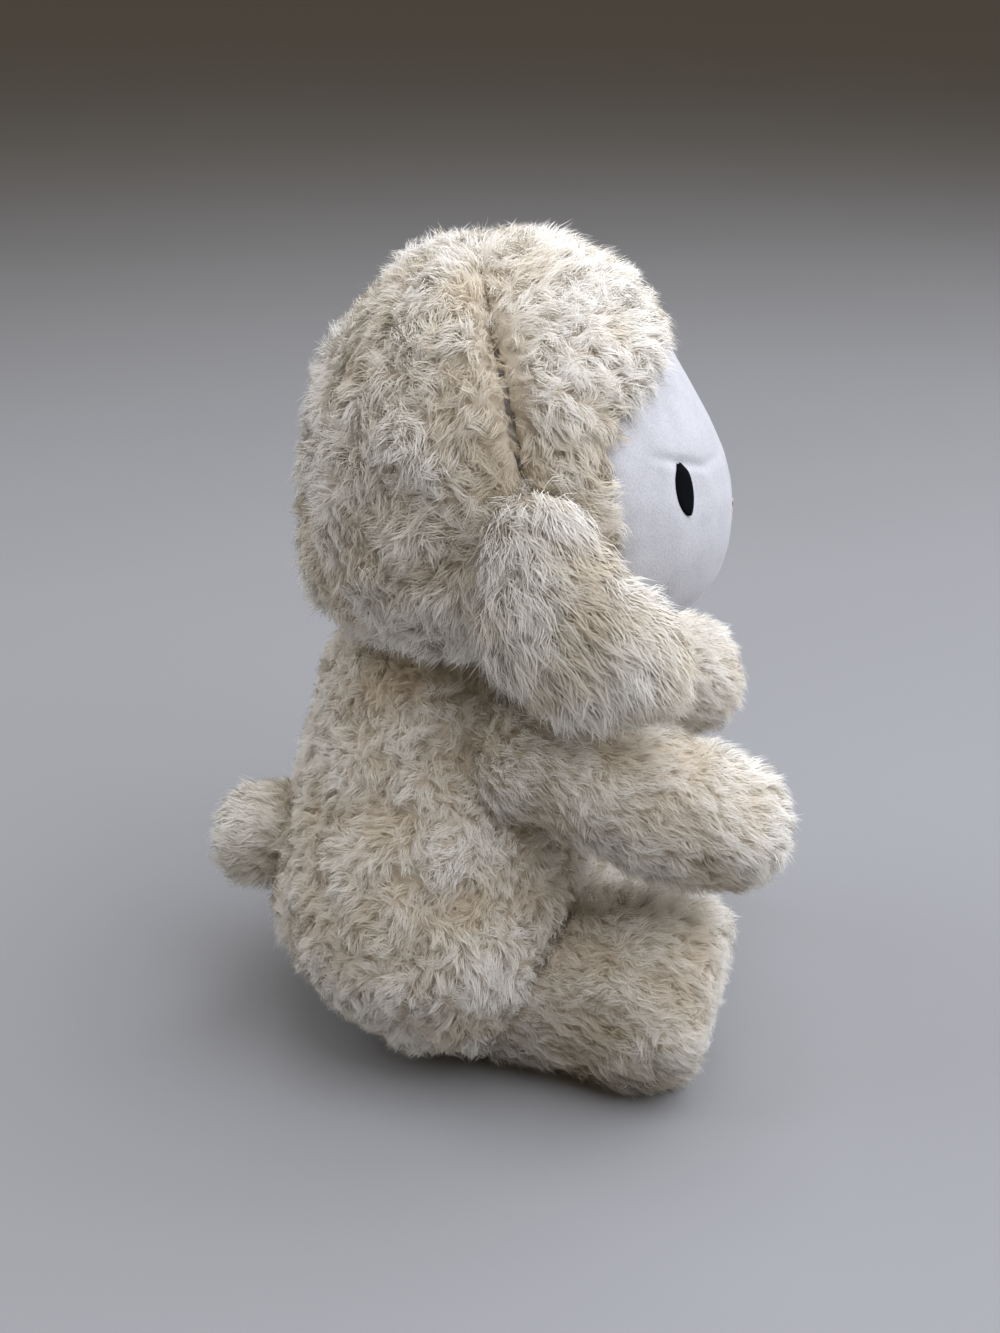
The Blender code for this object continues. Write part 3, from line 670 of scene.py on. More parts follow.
def lock_lengths(tree, given, where):
    """The length of each lock: uneven, shorter where the pile lies low, longer far from the whorl."""
    stretch = add(tree, "FunctionNodeRandomValue", {2: 0.75, 3: 1.15, "Seed": given["Seed"]},
                  data_type="FLOAT")
    loft = add(tree, "GeometryNodeInputNamedAttribute", {"Name": "loft"}, data_type="FLOAT")
    shorter = add(tree, "ShaderNodeMapRange", {"Value": loft, "To Min": 0.55, "To Max": 1.0})
    away = add(tree, "ShaderNodeVectorMath", {0: where, 1: given["Whorl"]}, operation="DISTANCE")
    grown = add(tree, "ShaderNodeMapRange", {
        "Value": away.outputs["Value"], "From Max": given["Grown at"], "To Max": given["Tip growth"]})
    grown = add(tree, "ShaderNodeMath", {0: grown, 1: 1.0}, operation="ADD")
    length = add(tree, "ShaderNodeMath", {0: given["Pile length"], 1: stretch.outputs[1]},
                 operation="MULTIPLY")
    length = add(tree, "ShaderNodeMath", {0: length, 1: shorter}, operation="MULTIPLY")
    return add(tree, "ShaderNodeMath", {0: length, 1: grown}, operation="MULTIPLY")


def with_maps(tree, start, place):
    """Store the pile's map twice: for its own material, and for the export's bake to keep."""
    for layer in ("pile_uv", "OFBake"):
        stored = add(tree, "GeometryNodeStoreNamedAttribute", {
            0: start, "Name": layer}, data_type="FLOAT2", domain="CORNER")
        tree.links.new(place.outputs[0], stored.inputs["Value"])
        start = stored
    return start


def pile_tree():
    """Geometry nodes that plant locks of pile on a skin, curl their tips, shade them softly by their
    normals and map painted shade onto the low ones.
    """
    tree, given = new_tree("Plush pile", PILE_INPUTS)
    where = add(tree, "GeometryNodeInputPosition").outputs[0]
    cover = add(tree, "GeometryNodeInputNamedAttribute", {"Name": "cover"}, data_type="FLOAT")
    skin = pile_skin(tree, given, where)
    apart = add(tree, "ShaderNodeMath", {0: given["Locks per area"]}, operation="SQRT")
    apart = add(tree, "ShaderNodeMath", {0: LOCK_DISTANCE, 1: apart}, operation="DIVIDE")
    most = add(tree, "ShaderNodeMath", {0: given["Locks per area"], 1: LOCK_OVERSHOOT},
               operation="MULTIPLY")
    scatter = add(tree, "GeometryNodeDistributePointsOnFaces", {
        "Mesh": skin, "Distance Min": apart, "Density Max": most, "Density Factor": cover,
        "Seed": given["Seed"]}, distribute_method="POISSON")
    normal = scatter.outputs["Normal"]
    direction = pile_directions(tree, given, where, normal)
    locks = add(tree, "GeometryNodeCollectionInfo", {
        "Collection": given["Locks"], "Separate Children": True, "Reset Children": True})
    pick = add(tree, "FunctionNodeRandomValue", {4: 0, 5: LOCK_KINDS - 1, "Seed": given["Seed"]},
               data_type="INT")
    planted = add(tree, "GeometryNodeInstanceOnPoints", {
        "Points": scatter, "Instance": locks, "Pick Instance": True,
        "Instance Index": pick.outputs[2], "Rotation": lock_turns(tree, given, direction, normal),
        "Scale": lock_lengths(tree, given, where)})
    real = add(tree, "GeometryNodeRealizeInstances", {0: planted})

    along = add(tree, "GeometryNodeInputNamedAttribute", {"Name": "along"}, data_type="FLOAT")
    bend = add(tree, "ShaderNodeMath", {0: along, 1: 1.6}, operation="POWER")
    curl = swirl(tree, where, given["Curl size"], given["Curl reach"])
    curl = add(tree, "ShaderNodeVectorMath", {0: curl, "Scale": bend}, operation="SCALE")
    curled = add(tree, "GeometryNodeSetPosition", {0: real, "Offset": curl})
    outward = add(tree, "GeometryNodeInputNamedAttribute", {"Name": "outward"},
                  data_type="FLOAT_VECTOR")
    facing = add(tree, "GeometryNodeInputNormal")
    agree = add(tree, "ShaderNodeVectorMath", {0: facing, 1: outward}, operation="DOT_PRODUCT")
    turned = add(tree, "FunctionNodeCompare", {0: agree.outputs["Value"], 1: 0.0},
                 operation="LESS_THAN")
    faced = add(tree, "GeometryNodeFlipFaces", {0: curled, 1: turned})

    # Painted shade: the lower a lock's tuft, the nearer it lies to the darker end of its tint; the
    # strand's random tint adds a little
    shade = add(tree, "GeometryNodeInputNamedAttribute", {"Name": "shade"}, data_type="FLOAT")
    height = add(tree, "GeometryNodeInputNamedAttribute", {"Name": "height"}, data_type="FLOAT")
    height = add(tree, "ShaderNodeMapRange", {"Value": height, "From Max": TUFT_HEIGHTS[1]})
    across = add(tree, "ShaderNodeMix", {0: PAINTED_SHADE_BY_HEIGHT, 2: shade, 3: height})
    up = add(tree, "ShaderNodeMapRange", {"Value": along, "To Min": PILE_FROM, "To Max": 1.0})
    pile_place = add(tree, "ShaderNodeCombineXYZ", {0: across, 1: up})
    parts = add(tree, "ShaderNodeSeparateXYZ", {0: where}).outputs
    low_side = add(tree, "ShaderNodeMath", {0: parts["X"], 1: BACKING_ACROSS, 2: 0.5},
                   operation="MULTIPLY_ADD")
    low_up = add(tree, "ShaderNodeMath", {0: parts["Z"], 1: BACKING_UP, 2: 0.02},
                 operation="MULTIPLY_ADD")
    back_place = add(tree, "ShaderNodeCombineXYZ", {0: low_side, 1: low_up})
    back = add(tree, "GeometryNodeSetMaterial", {
        0: with_maps(tree, skin, back_place), "Material": given["Backing"]})
    front = add(tree, "GeometryNodeSetMaterial", {
        0: with_maps(tree, faced, pile_place), "Material": given["Pile"]})
    both = add(tree, "GeometryNodeJoinGeometry", {0: back})
    tree.links.new(front.outputs[0], both.inputs[0])

    high = add(tree, "ShaderNodeMath", {0: parts["Z"], 1: FLOOR_CLEARANCE}, operation="MAXIMUM")
    above = add(tree, "ShaderNodeCombineXYZ", {0: parts["X"], 1: parts["Y"], 2: high})
    pressed = add(tree, "GeometryNodeSetPosition", {0: both, "Position": above})
    own_share = add(tree, "ShaderNodeVectorMath", {0: facing, "Scale": OWN_NORMAL},
                    operation="SCALE")
    soft = add(tree, "ShaderNodeVectorMath", {0: outward, 1: own_share}, operation="ADD")
    soft = add(tree, "ShaderNodeVectorMath", {0: soft}, operation="NORMALIZE")
    smooth = add(tree, "GeometryNodeSetMeshNormal", {0: pressed, "Custom Normal": soft},
                 mode="FREE", domain="POINT")
    add(tree, "NodeGroupOutput", {0: smooth})
    return tree


def heading(spread, droop, side):
    """Unit vector that points forward, turned out by spread and down by droop, in degrees."""
    spread, droop = math.radians(spread), math.radians(droop)
    flat = math.cos(droop)
    return Vector((side * math.sin(spread) * flat, -math.cos(spread) * flat, -math.sin(droop)))


# How the pile lies on each fur skin: ruffle is how far it strays from its way
CROWN = Vector((0.0, -0.004, 0.262))
EAR_ROOT = Vector((0.050, -0.0153, 0.200))
PILE_LIES = {
    "torso_skin": {"Way": (0.0, 0.15, -0.35), "Ruffle": 3.2},
    "head_back_panel": {"Way": (0.0, 0.1, -0.4), "Whorl": CROWN, "Whorl share": 0.1, "Ruffle": 3.4},
    "brow_band": {"Way": (0.0, -0.45, -0.35), "Whorl": CROWN, "Whorl share": 0.1, "Ruffle": 2.8},
    "tail_skin": {"Way": (0.0, 1.0, 0.0), "Ruffle": 1.8},
}
for word, sign in SIDES.items():
    PILE_LIES[f"{word}_ear"] = {
        "Way": (0.0, -0.5, -0.45), "Whorl": EAR_ROOT * Vector((sign, 1.0, 1.0)), "Whorl share": 0.5,
        "Ruffle": 1.8, "Undercoat": 1.2 * MM, "Tip growth": 0.4, "Grown at": 62.0 * MM,
        "High rise": 0.8, "Stray": 0.6}
    PILE_LIES[f"{word}_arm_skin"] = {"Way": heading(10, 30, sign), "Ruffle": 2.4}
    PILE_LIES[f"{word}_leg_skin"] = {"Way": heading(17, 10, sign), "Ruffle": 2.8}
    PILE_LIES[f"{word}_sole"] = {"Way": (0.0, 0.0, -1.0), "Ruffle": 2.6, "Undercoat": 1.0 * MM}

SKIN_VOXEL = 1.5 * MM
SKIN_ROUNDS = 6
SKIN_KEEP = 0.3
PILE_LAYERS = ("cover", "loft", "height", "along", "shade", "outward")


class PileKit:
    """The locks, tree and materials that all fur skins share."""

    def __init__(self, scene):
        sizes, colours = scene.sheep_pile, scene.sheep_colours
        self.sizes = sizes
        self.locks = bpy.data.collections.new("pile_locks")
        width = sizes.strand_width / sizes.torso_length
        for kind in range(LOCK_KINDS):
            mesh = lock_mesh(f"lock_{kind}", kind + 1, sizes.strands, width)
            self.locks.objects.link(bpy.data.objects.new(f"lock_{kind}", mesh))
        self.tree = pile_tree()
        self.pile = pile_material(colours)
        self.backing = backing_material(colours)

    def dress(self, node, body, length, seed, fill, slot="fur_cloth"):
        """One fur piece: a rounded skin that carries its pile."""
        thing = soft_copy(node + "_pile", node, SKIN_VOXEL, SKIN_ROUNDS, SKIN_KEEP)
        thing.data.materials.append(self.backing)
        mark_cover(thing.data, node)
        settle(thing.data, node)
        modifier = thing.modifiers.new("Pile", "NODES")
        modifier.node_group = self.tree
        values = {
            "Locks": self.locks,
            "Locks per area": self.sizes.locks_per_mm2 / (MM * MM),
            "Pile length": length,
            "Tip growth": 0.0,
            "Grown at": 1.0,
            "Undercoat": self.sizes.undercoat,
            "Low rise": 0.25,
            "High rise": 0.95,
            "Way": (0.0, 0.0, 0.0),
            "Whorl": (0.0, 0.0, 0.0),
            "Whorl share": 0.0,
            "Tuft size": self.sizes.tuft_size,
            "Ruffle": 2.0,
            "Ruffle size": self.sizes.ruffle_size,
            "Stray": 0.5,
            "Curl size": self.sizes.curl_size,
            "Curl reach": self.sizes.curl_reach,
            "Twist": 0.4,
            "Seed": seed,
            "Pile": self.pile,
            "Backing": self.backing,
        }
        values.update(PILE_LIES[node])
        set_inputs(modifier, values)
        applied(thing)
        for layer in PILE_LAYERS:
            if layer in thing.data.attributes:
                thing.data.attributes.remove(thing.data.attributes[layer])
        declare(thing, body, node)
        return thing

    def clear(self):
        """Remove the loose locks."""
        for thing in list(self.locks.objects):
            bpy.data.objects.remove(thing, do_unlink=True)
        bpy.data.collections.remove(self.locks)


# What the operators share, made by the first that needs it
SHARED = {}


def pile_kit():
    if "kit" not in SHARED:
        SHARED["kit"] = PileKit(bpy.context.scene)
    return SHARED["kit"]


def velboa():
    """The short-pile material that the face and the linings share."""
    if "velboa" not in SHARED:
        SHARED["velboa"] = velboa_material(bpy.context.scene.sheep_colours)
    return SHARED["velboa"]


class SHEEP_OT_torso(Operator):
    """Dress the torso in pile"""
    bl_idname = "sheep.torso"
    bl_label = "Torso"

    def execute(self, context):
        pile_kit().dress("torso_skin", "torso", context.scene.sheep_pile.torso_length, 11, 0.8)
        return {"FINISHED"}


class SHEEP_OT_head(Operator):
    """Dress the back of the head and the brow band in pile"""
    bl_idname = "sheep.head"
    bl_label = "Head fur"

    def execute(self, context):
        length = context.scene.sheep_pile.head_length
        pile_kit().dress("head_back_panel", "head", length, 21, 0.9)
        pile_kit().dress("brow_band", "head", length, 22, 0.9)
        return {"FINISHED"}


class SHEEP_OT_ears(Operator):
    """Dress both ears in long pile and give them their linings"""
    bl_idname = "sheep.ears"
    bl_label = "Ears"

    def execute(self, context):
        length = context.scene.sheep_pile.ear_length
        for seed, side in enumerate(SIDES, 31):
            pile_kit().dress(f"{side}_ear", f"{side}_ear", length, seed, 0.5)
            node = f"{side}_ear_lining"
            lining = soft_copy(node + "_cloth", node, 0.8 * MM, 4)
            settle(lining.data, node)
            lining.data.materials.append(velboa())
            declare(lining, f"{side}_ear", node)
        return {"FINISHED"}


class SHEEP_OT_arms(Operator):
    """Dress both arms in pile"""
    bl_idname = "sheep.arms"
    bl_label = "Arms"

    def execute(self, context):
        length = context.scene.sheep_pile.limb_length
        for seed, side in enumerate(SIDES, 41):
            pile_kit().dress(f"{side}_arm_skin", f"{side}_arm", length, seed, 0.9)
        return {"FINISHED"}


class SHEEP_OT_legs(Operator):
    """Dress both legs in pile and their soles in a shorter one"""
    bl_idname = "sheep.legs"
    bl_label = "Legs"

    def execute(self, context):
        sizes = context.scene.sheep_pile
        for seed, side in enumerate(SIDES, 51):
            pile_kit().dress(f"{side}_leg_skin", f"{side}_leg", sizes.limb_length, seed, 0.9)
            pile_kit().dress(f"{side}_sole", f"{side}_leg", sizes.sole_length, seed + len(SIDES), 0.6,
                             "velvet_cloth")
        return {"FINISHED"}


class SHEEP_OT_tail(Operator):
    """Dress the tail in pile"""
    bl_idname = "sheep.tail"
    bl_label = "Tail"

    def execute(self, context):
        pile_kit().dress("tail_skin", "tail", context.scene.sheep_pile.tail_length, 61, 0.7)
        return {"FINISHED"}


CHEEK_START = 1.5 * MM
CHEEK_FULL = 8.0 * MM
CHEEK_ROUNDS = 40
CREASE_ABOVE = 3.0 * MM
CREASE_ARCH = 5.0 * MM


def smooth_cheeks(piece):
    """Round the face away from its seam, where it stays as it is."""
    group = piece.vertex_groups.new(name="cheeks")
    for vert in piece.data.vertices:
        away = distance_to("brow_band", vert.co, CHEEK_FULL)
        group.add([vert.index], clamp((away - CHEEK_START) / (CHEEK_FULL - CHEEK_START)), "REPLACE")
    modifier = piece.modifiers.new("Round", "SMOOTH")
    modifier.vertex_group = group.name
    modifier.factor = 0.5
    modifier.iterations = CHEEK_ROUNDS
    applied(piece)
    piece.vertex_groups.clear()
    piece.data.shade_smooth()


def crease_share(place, eye_z, reach):
    """How deep the fold is at a place: deepest beside an eye, gone in the middle and behind the eye."""
    aside = abs(place.x) / reach
    strength = min(1.0, aside / 0.75) ** 2 * clamp((1.15 - aside) / 0.15)
    return strength, eye_z + CREASE_ABOVE + CREASE_ARCH * max(0.0, aside - 0.7) / 0.3


def shape_face(mesh, face):
    """Round the face out, draw it in at the eyes and fold it from each eye to the middle."""
    low, high = BOXES["face_panel"]
    inside = Vector((0.0, high.y, (low.z + high.z) / 2))
    eyes = [sum(BOXES[f"{side}_eye"], Vector()) / 2 for side in SIDES]
    rest = [(vert.co.copy(), vert.normal.copy()) for vert in mesh.vertices]
    for vert, (place, normal) in zip(mesh.vertices, rest):
        if normal.dot(place - inside) <= 0:
            continue
        forward = clamp((high.y - place.y) / (high.y - low.y))
        out = face.fullness * math.sin(forward * math.pi / 2)
        for eye in eyes:
            out -= face.dimple_depth * bell((place - eye).length, face.dimple_size)
        if forward > 0.3:
            strength, line = crease_share(place, eyes[0].z, abs(eyes[0].x))
            out -= face.crease_depth * strength * bell(place.z - line, face.crease_width)
        vert.co = place + normal * out


class SHEEP_OT_face(Operator):
    """Make the short-pile face with its hollows and folds"""
    bl_idname = "sheep.face"
    bl_label = "Face"

    def execute(self, context):
        piece = soft_copy("face_cloth", "face_panel", 0.9 * MM, 6)
        smooth_cheeks(piece)
        shape_face(piece.data, context.scene.sheep_face)
        piece.data.materials.append(velboa())
        SHARED["face"] = piece
        declare(piece, "head", "face_panel")
        return {"FINISHED"}


STITCH_INPUTS = {
    "Rows": "NodeSocketInt",
    "Half height": "NodeSocketFloat",
    "Half width": "NodeSocketFloat",
    "Squareness": "NodeSocketFloat",
    "Thread": "NodeSocketFloat",
    "Rise": "NodeSocketFloat",
    "Colour": "NodeSocketMaterial",
}
STITCH_POINTS = 9
THREAD_SIDES = 6
STITCH_STEP = 0.8
THREAD_RADIUS = 0.55


def stitch_tree():
    """Geometry nodes that lay satin stitches side by side in an oval, raised along its middle."""
    tree, given = new_tree("Satin stitches", STITCH_INPUTS)
    number = add(tree, "GeometryNodeInputIndex")
    share = add(tree, "ShaderNodeMath", {0: number, 1: 0.5}, operation="ADD")
    share = add(tree, "ShaderNodeMath", {0: share, 1: given["Rows"]}, operation="DIVIDE")
    share = add(tree, "ShaderNodeMath", {0: share, 1: 2.0, 2: -1.0}, operation="MULTIPLY_ADD")
    narrow = add(tree, "ShaderNodeMath", {0: share}, operation="ABSOLUTE")
    narrow = add(tree, "ShaderNodeMath", {0: narrow, 1: given["Squareness"]}, operation="POWER")
    narrow = add(tree, "ShaderNodeMath", {0: 1.0, 1: narrow}, operation="SUBTRACT")
    narrow = add(tree, "ShaderNodeMath", {0: narrow}, operation="SQRT")
    width = add(tree, "ShaderNodeMath", {0: given["Half width"], 1: narrow}, operation="MULTIPLY")
    height = add(tree, "ShaderNodeMath", {0: share, 1: given["Half height"]}, operation="MULTIPLY")
    rows = add(tree, "GeometryNodePoints", {
        "Count": given["Rows"], "Position": add(tree, "ShaderNodeCombineXYZ", {1: height}),
        "Radius": given["Thread"]})
    line = add(tree, "GeometryNodeCurvePrimitiveLine", {
        "Start": (-1.0, 0.0, 0.0), "End": (1.0, 0.0, 0.0)})
    line = add(tree, "GeometryNodeResampleCurve", {0: line, "Count": STITCH_POINTS})
    laid = add(tree, "GeometryNodeInstanceOnPoints", {
        "Points": rows, "Instance": line,
        "Scale": add(tree, "ShaderNodeCombineXYZ", {0: width, 1: 1.0, 2: 1.0})})
    laid = add(tree, "GeometryNodeRealizeInstances", {0: laid})

    along = add(tree, "GeometryNodeSplineParameter")
    along = add(tree, "ShaderNodeMath", {0: along, 1: 2.0, 2: -1.0}, operation="MULTIPLY_ADD")
    dome = add(tree, "ShaderNodeMath", {0: along, 1: along}, operation="MULTIPLY")
    dome = add(tree, "ShaderNodeMath", {0: 1.0, 1: dome}, operation="SUBTRACT")
    dome = add(tree, "ShaderNodeMath", {0: dome}, operation="SQRT")
    lift = add(tree, "ShaderNodeMath", {0: dome, 1: given["Rise"]}, operation="MULTIPLY")
    raised = add(tree, "GeometryNodeSetPosition", {
        0: laid, "Offset": add(tree, "ShaderNodeCombineXYZ", {2: lift})})
    radius = add(tree, "ShaderNodeMath", {0: given["Thread"], 1: THREAD_RADIUS}, operation="MULTIPLY")
    ring = add(tree, "GeometryNodeCurvePrimitiveCircle", {
        "Resolution": THREAD_SIDES, "Radius": radius})
    thread = add(tree, "GeometryNodeCurveToMesh", {
        "Curve": raised, "Profile Curve": ring, "Fill Caps": True})
    smooth = add(tree, "GeometryNodeSetShadeSmooth", {0: thread})
    real = add(tree, "GeometryNodeRealizeInstances", {0: smooth})
    dyed = add(tree, "GeometryNodeSetMaterial", {0: real, "Material": given["Colour"]})
    add(tree, "NodeGroupOutput", {0: dyed})
    return tree


def stitches(name, size, squareness, thread, rise, material):
    """A flat patch of satin stitches that run along x; size is its half width and half height."""
    if "stitch tree" not in SHARED:
        SHARED["stitch tree"] = stitch_tree()
    mesh = bpy.data.meshes.new(name)
    mesh.materials.append(material)
    piece = as_object(name, mesh)
    modifier = piece.modifiers.new("Satin", "NODES")
    modifier.node_group = SHARED["stitch tree"]
    set_inputs(modifier, {
        "Rows": max(2, round(2 * size[1] / (thread * STITCH_STEP))),
        "Half width": size[0],
        "Half height": size[1],
        "Squareness": squareness,
        "Thread": thread,
        "Rise": rise,
        "Colour": material,
    })
    return applied(piece)


LAID_FROM = 20.0 * MM


def lay_on(mesh, surface, centre, across):
    """Lay a flat embroidery, drawn in x and y with its rise in z, upright on a surface."""
    out = across.cross(UP).normalized()
    points = [vert.co for vert in surface.vertices]
    tree = BVHTree.FromPolygons(points, [tuple(face.vertices) for face in surface.polygons])
    for vert in mesh.vertices:
        flat = centre + across * vert.co.x + UP * vert.co.y
        hit = tree.ray_cast(flat + out * LAID_FROM, -out)[0]
        vert.co = (hit if hit is not None else flat) + out * vert.co.z


EYE_WIDTH_SHARE = 0.92
EYE_RISE = 0.7 * MM
EYE_TURN = math.radians(45.0)
OVAL = 2.0


class SHEEP_OT_eyes(Operator):
    """Embroider both eyes in satin stitch"""
    bl_idname = "sheep.eyes"
    bl_label = "Eyes"

    def execute(self, context):
        face, colours = context.scene.sheep_face, context.scene.sheep_colours
        material = thread_material("rayon_eye_thread", colours.eye, face.thread)
        for name, side in SIDES.items():
            low, high = BOXES[f"{name}_eye"]
            half_wide = math.hypot(high.x - low.x, high.y - low.y) / 2 * EYE_WIDTH_SHARE
            half_high = (high.z - low.z) / 2
            piece = stitches(f"{name}_eye_satin", (half_wide, half_high), OVAL, face.thread, EYE_RISE,
                             material)
            turn = EYE_TURN * side
            across = Vector((math.cos(turn), math.sin(turn), 0.0))
            centre = (low + high) / 2 - across * (face.eye_shift * side)
            lay_on(piece.data, SHARED["face"].data, centre, across)
            declare(piece, "head", f"{name}_eye")
        return {"FINISHED"}


NOSE_ARM = 6.0 * MM
NOSE_STEM = 7.5 * MM
NOSE_SPREAD = math.radians(35.0)
NOSE_RISE = 0.2 * MM
STRAIGHT = 8.0
STROKE_THREADS = 1.2


class SHEEP_OT_nose(Operator):
    """Embroider the nose in pale thread: two short arms and a stem"""
    bl_idname = "sheep.nose"
    bl_label = "Nose"

    def execute(self, context):
        face, colours = context.scene.sheep_face, context.scene.sheep_colours
        material = thread_material("rayon_nose_thread", colours.nose, face.thread)
        low, high = BOXES["nose_stitching"]
        fork = Vector((0.0, low.y, high.z - NOSE_ARM * math.sin(NOSE_SPREAD) - face.thread))
        turns = {NOSE_SPREAD: NOSE_ARM, math.pi - NOSE_SPREAD: NOSE_ARM, -math.pi / 2: NOSE_STEM}
        strokes = []
        for turn, reach in turns.items():
            size = (reach / 2, face.thread * STROKE_THREADS)
            stroke = stitches("nose_stroke", size, STRAIGHT, face.thread, NOSE_RISE, material)
            place = Matrix.Rotation(turn, 4, "Z") @ Matrix.Translation((reach / 2, 0.0, 0.0))
            stroke.data.transform(place)
            strokes.append(stroke)
        piece = joined("nose_satin", strokes)
        lay_on(piece.data, SHARED["face"].data, fork, Vector((1.0, 0.0, 0.0)))
        declare(piece, "head", "nose_stitching")
        return {"FINISHED"}


FILLINGS = {
    "torso_filling": "torso",
    "head_filling": "head",
    "right_arm_filling": "right_arm",
    "left_arm_filling": "left_arm",
    "right_leg_filling": "right_leg",
    "left_leg_filling": "left_leg",
    "tail_filling": "tail",
}
CLUMP_SIZE = 9.0 * MM
CLUMP_DEPTH = 1.6 * MM
PELLET_SIZE = 4.0 * MM
PELLET_DEPTH = 0.9 * MM


def dent(mesh, depth, share_at):
    """Press hollows into a filling, never outward, so that it stays in its skin."""
    rest = [(vert.co.copy(), vert.normal.copy()) for vert in mesh.vertices]
    for vert, (place, normal) in zip(mesh.vertices, rest):
        vert.co = place - normal * (depth * clamp(share_at(place)))


def clump_share(place):
    """Hollows between the clumps of loose fibre."""
    return 0.5 + noise.noise(place / CLUMP_SIZE)


def pellet_share(place):
    """Hollows between the pellets that press through the bag."""
    return noise.voronoi(place / PELLET_SIZE)[0][0] * 1.4


class SHEEP_OT_stuffing(Operator):
    """Make the stuffing and the pellet bag inside the skins"""
    bl_idname = "sheep.stuffing"
    bl_label = "Stuffing"

    def execute(self, context):
        colours = context.scene.sheep_colours
        fibre = filling_material("crimped_polyester_fibre", colours.stuffing, 3.0 * MM)
        cloth = filling_material("spun_bag_cloth", colours.bag, 1.5 * MM)
        for node, body in FILLINGS.items():
            piece = soft_copy(node + "_fibre", node, 2.0 * MM, 8)
            dent(piece.data, CLUMP_DEPTH, clump_share)
            settle(piece.data, node)
            piece.data.materials.append(fibre)
            declare(piece, body, node)
        bag = soft_copy("pellet_bag_cloth", "pellet_bag", 1.0 * MM, 6)
        dent(bag.data, PELLET_DEPTH, pellet_share)
        bag.data.materials.append(cloth)
        declare(bag, "torso", "pellet_bag")
        return {"FINISHED"}


def look_at(thing, target):
    """Turn a lamp or camera, which looks down its -Z, towards a point."""
    thing.rotation_euler = (target - thing.location).to_track_quat("-Z", "Y").to_euler()


KEY_COLOUR = linear("#f0f4ff")[:3]
WORLD_COLOUR = linear("#f4d8aa")
WORLD_STRENGTH = 0.17
SEEN_STRENGTH = 0.6
FLOOR_RADIUS = 8.0
LAMPS = {
    "key_lamp": (Vector((-0.1, -0.60, 1.15)), 2.0, 36.0),
    "back_lamp": (Vector((0.1, 0.9, 0.9)), 0.9, 6.0),
}


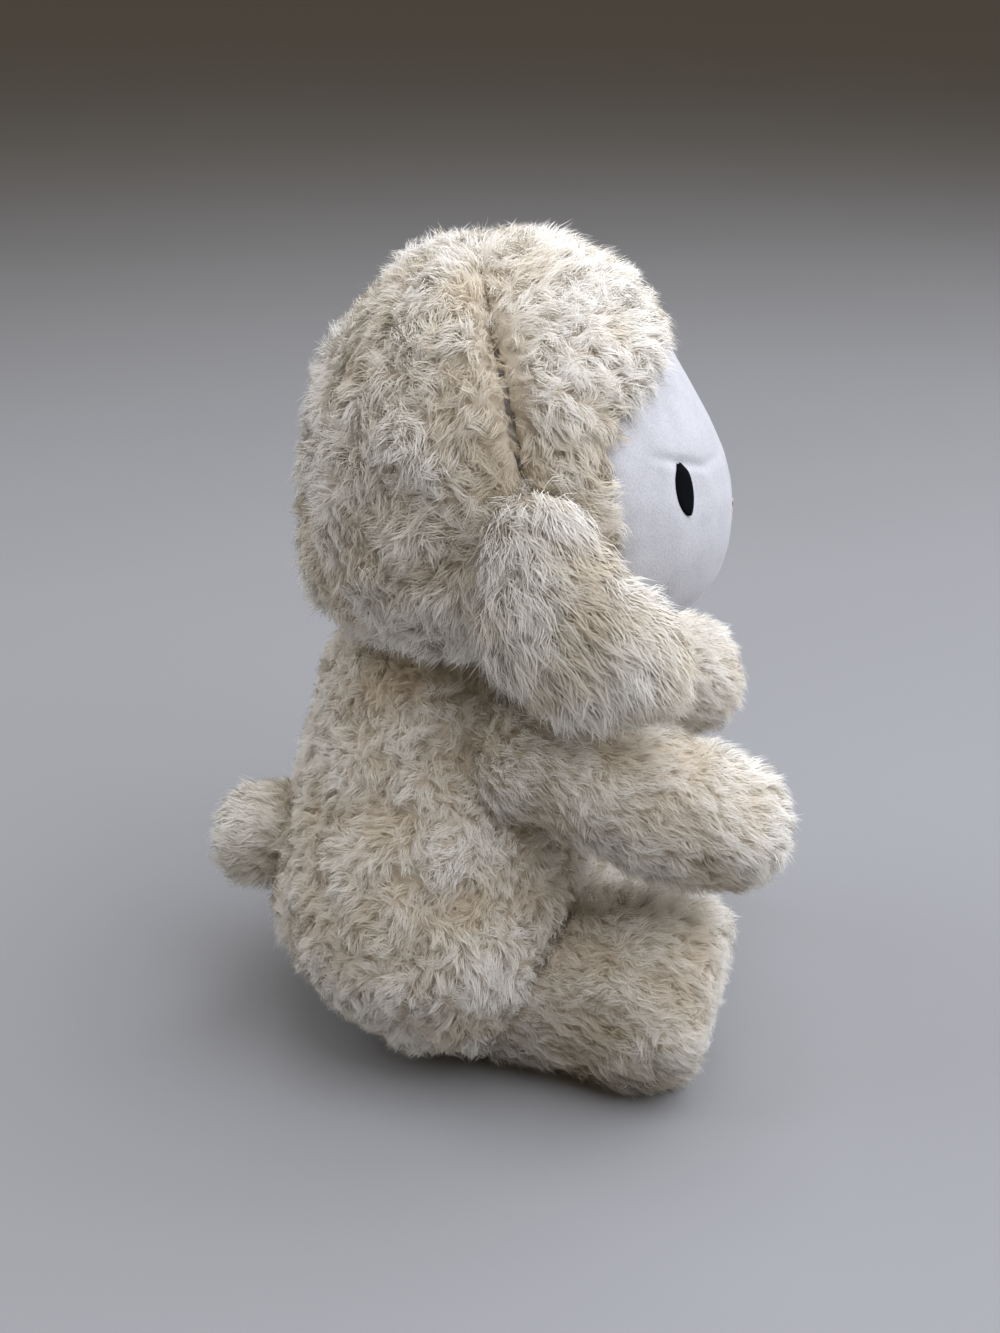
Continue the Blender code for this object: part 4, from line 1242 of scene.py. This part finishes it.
class SHEEP_OT_stage(Operator):
    """Set up the camera, the floor, the lamps and the world"""
    bl_idname = "sheep.stage"
    bl_label = "Stage"

    def execute(self, context):
        scene, colours = context.scene, context.scene.sheep_colours
        lens = bpy.data.cameras.new("photo_camera")
        lens.sensor_width = SENSOR
        lens.lens = FOCAL_PIXELS / PHOTO_HEIGHT * SENSOR
        camera = as_object("photo_camera", lens)
        back = Vector((-math.cos(VIEW_ELEVATION), 0.0, math.sin(VIEW_ELEVATION)))
        camera.location = VIEW_TARGET + back * VIEW_DISTANCE
        look_at(camera, VIEW_TARGET)
        scene.camera = camera

        bm = bmesh.new()
        bmesh.ops.create_circle(bm, cap_ends=True, segments=64, radius=FLOOR_RADIUS)
        mesh = bpy.data.meshes.new("floor")
        bm.to_mesh(mesh)
        bm.free()
        floor = as_object("floor", mesh)
        floor.data.materials.append(floor_material(colours))

        for name, (place, size, power) in LAMPS.items():
            lamp = bpy.data.lights.new(name, "AREA")
            lamp.color = KEY_COLOUR
            lamp.size = size
            lamp.energy = power
            thing = as_object(name, lamp)
            thing.location = place
            look_at(thing, VIEW_TARGET)

        world = bpy.data.worlds.new("studio")
        scene.world = world
        world.use_nodes = True
        tree = world.node_tree
        tree.nodes.clear()
        rays = add(tree, "ShaderNodeLightPath").outputs
        seen = add(tree, "ShaderNodeMath", {0: rays["Is Camera Ray"], 1: rays["Is Glossy Ray"]},
                   operation="MAXIMUM")
        seen = add(tree, "ShaderNodeMath", {0: seen, 1: rays["Is Transmission Ray"]},
                   operation="MAXIMUM")
        light = add(tree, "ShaderNodeBackground", {"Color": WORLD_COLOUR, "Strength": WORLD_STRENGTH})
        shown = add(tree, "ShaderNodeBackground", {"Color": colours.floor, "Strength": SEEN_STRENGTH})
        mix = add(tree, "ShaderNodeMixShader", {0: seen, 1: light, 2: shown})
        add(tree, "ShaderNodeOutputWorld", {0: mix})
        scene.view_settings.view_transform = "Standard"
        return {"FINISHED"}


OPERATORS = (
    SHEEP_OT_stage, SHEEP_OT_torso, SHEEP_OT_head, SHEEP_OT_face, SHEEP_OT_eyes, SHEEP_OT_nose,
    SHEEP_OT_ears, SHEEP_OT_arms, SHEEP_OT_legs, SHEEP_OT_tail, SHEEP_OT_stuffing,
)


class SHEEP_PT_looks(Panel):
    """Lists the sheep's pieces and settings"""
    bl_idname = "SHEEP_PT_looks"
    bl_label = "Plush Sheep"
    bl_space_type = "VIEW_3D"
    bl_region_type = "UI"
    bl_category = "Sheep"

    def draw(self, context):
        scene = context.scene
        for settings in (scene.sheep_pile, scene.sheep_colours, scene.sheep_face):
            column = self.layout.column()
            for name in settings.__annotations__:
                column.prop(settings, name)
        for operator in OPERATORS:
            self.layout.operator(operator.bl_idname)


SETTINGS = {
    "sheep_pile": SheepPileSettings,
    "sheep_colours": SheepColourSettings,
    "sheep_face": SheepFaceSettings,
}


def register():
    """Register the settings, the operators and the panel."""
    for name, settings in SETTINGS.items():
        bpy.utils.register_class(settings)
        setattr(bpy.types.Scene, name, PointerProperty(type=settings))
    for operator in OPERATORS:
        bpy.utils.register_class(operator)
    bpy.utils.register_class(SHEEP_PT_looks)


def unregister():
    """Undo the registration."""
    bpy.utils.unregister_class(SHEEP_PT_looks)
    for operator in reversed(OPERATORS):
        bpy.utils.unregister_class(operator)
    for name, settings in SETTINGS.items():
        delattr(bpy.types.Scene, name)
        bpy.utils.unregister_class(settings)


def main():
    register()
    bpy.ops.sheep.stage()
    bpy.ops.sheep.torso()
    bpy.ops.sheep.head()
    bpy.ops.sheep.face()
    bpy.ops.sheep.eyes()
    bpy.ops.sheep.nose()
    bpy.ops.sheep.ears()
    bpy.ops.sheep.arms()
    bpy.ops.sheep.legs()
    bpy.ops.sheep.tail()
    bpy.ops.sheep.stuffing()
    SHARED["kit"].clear()


if __name__ == "__main__":
    main()
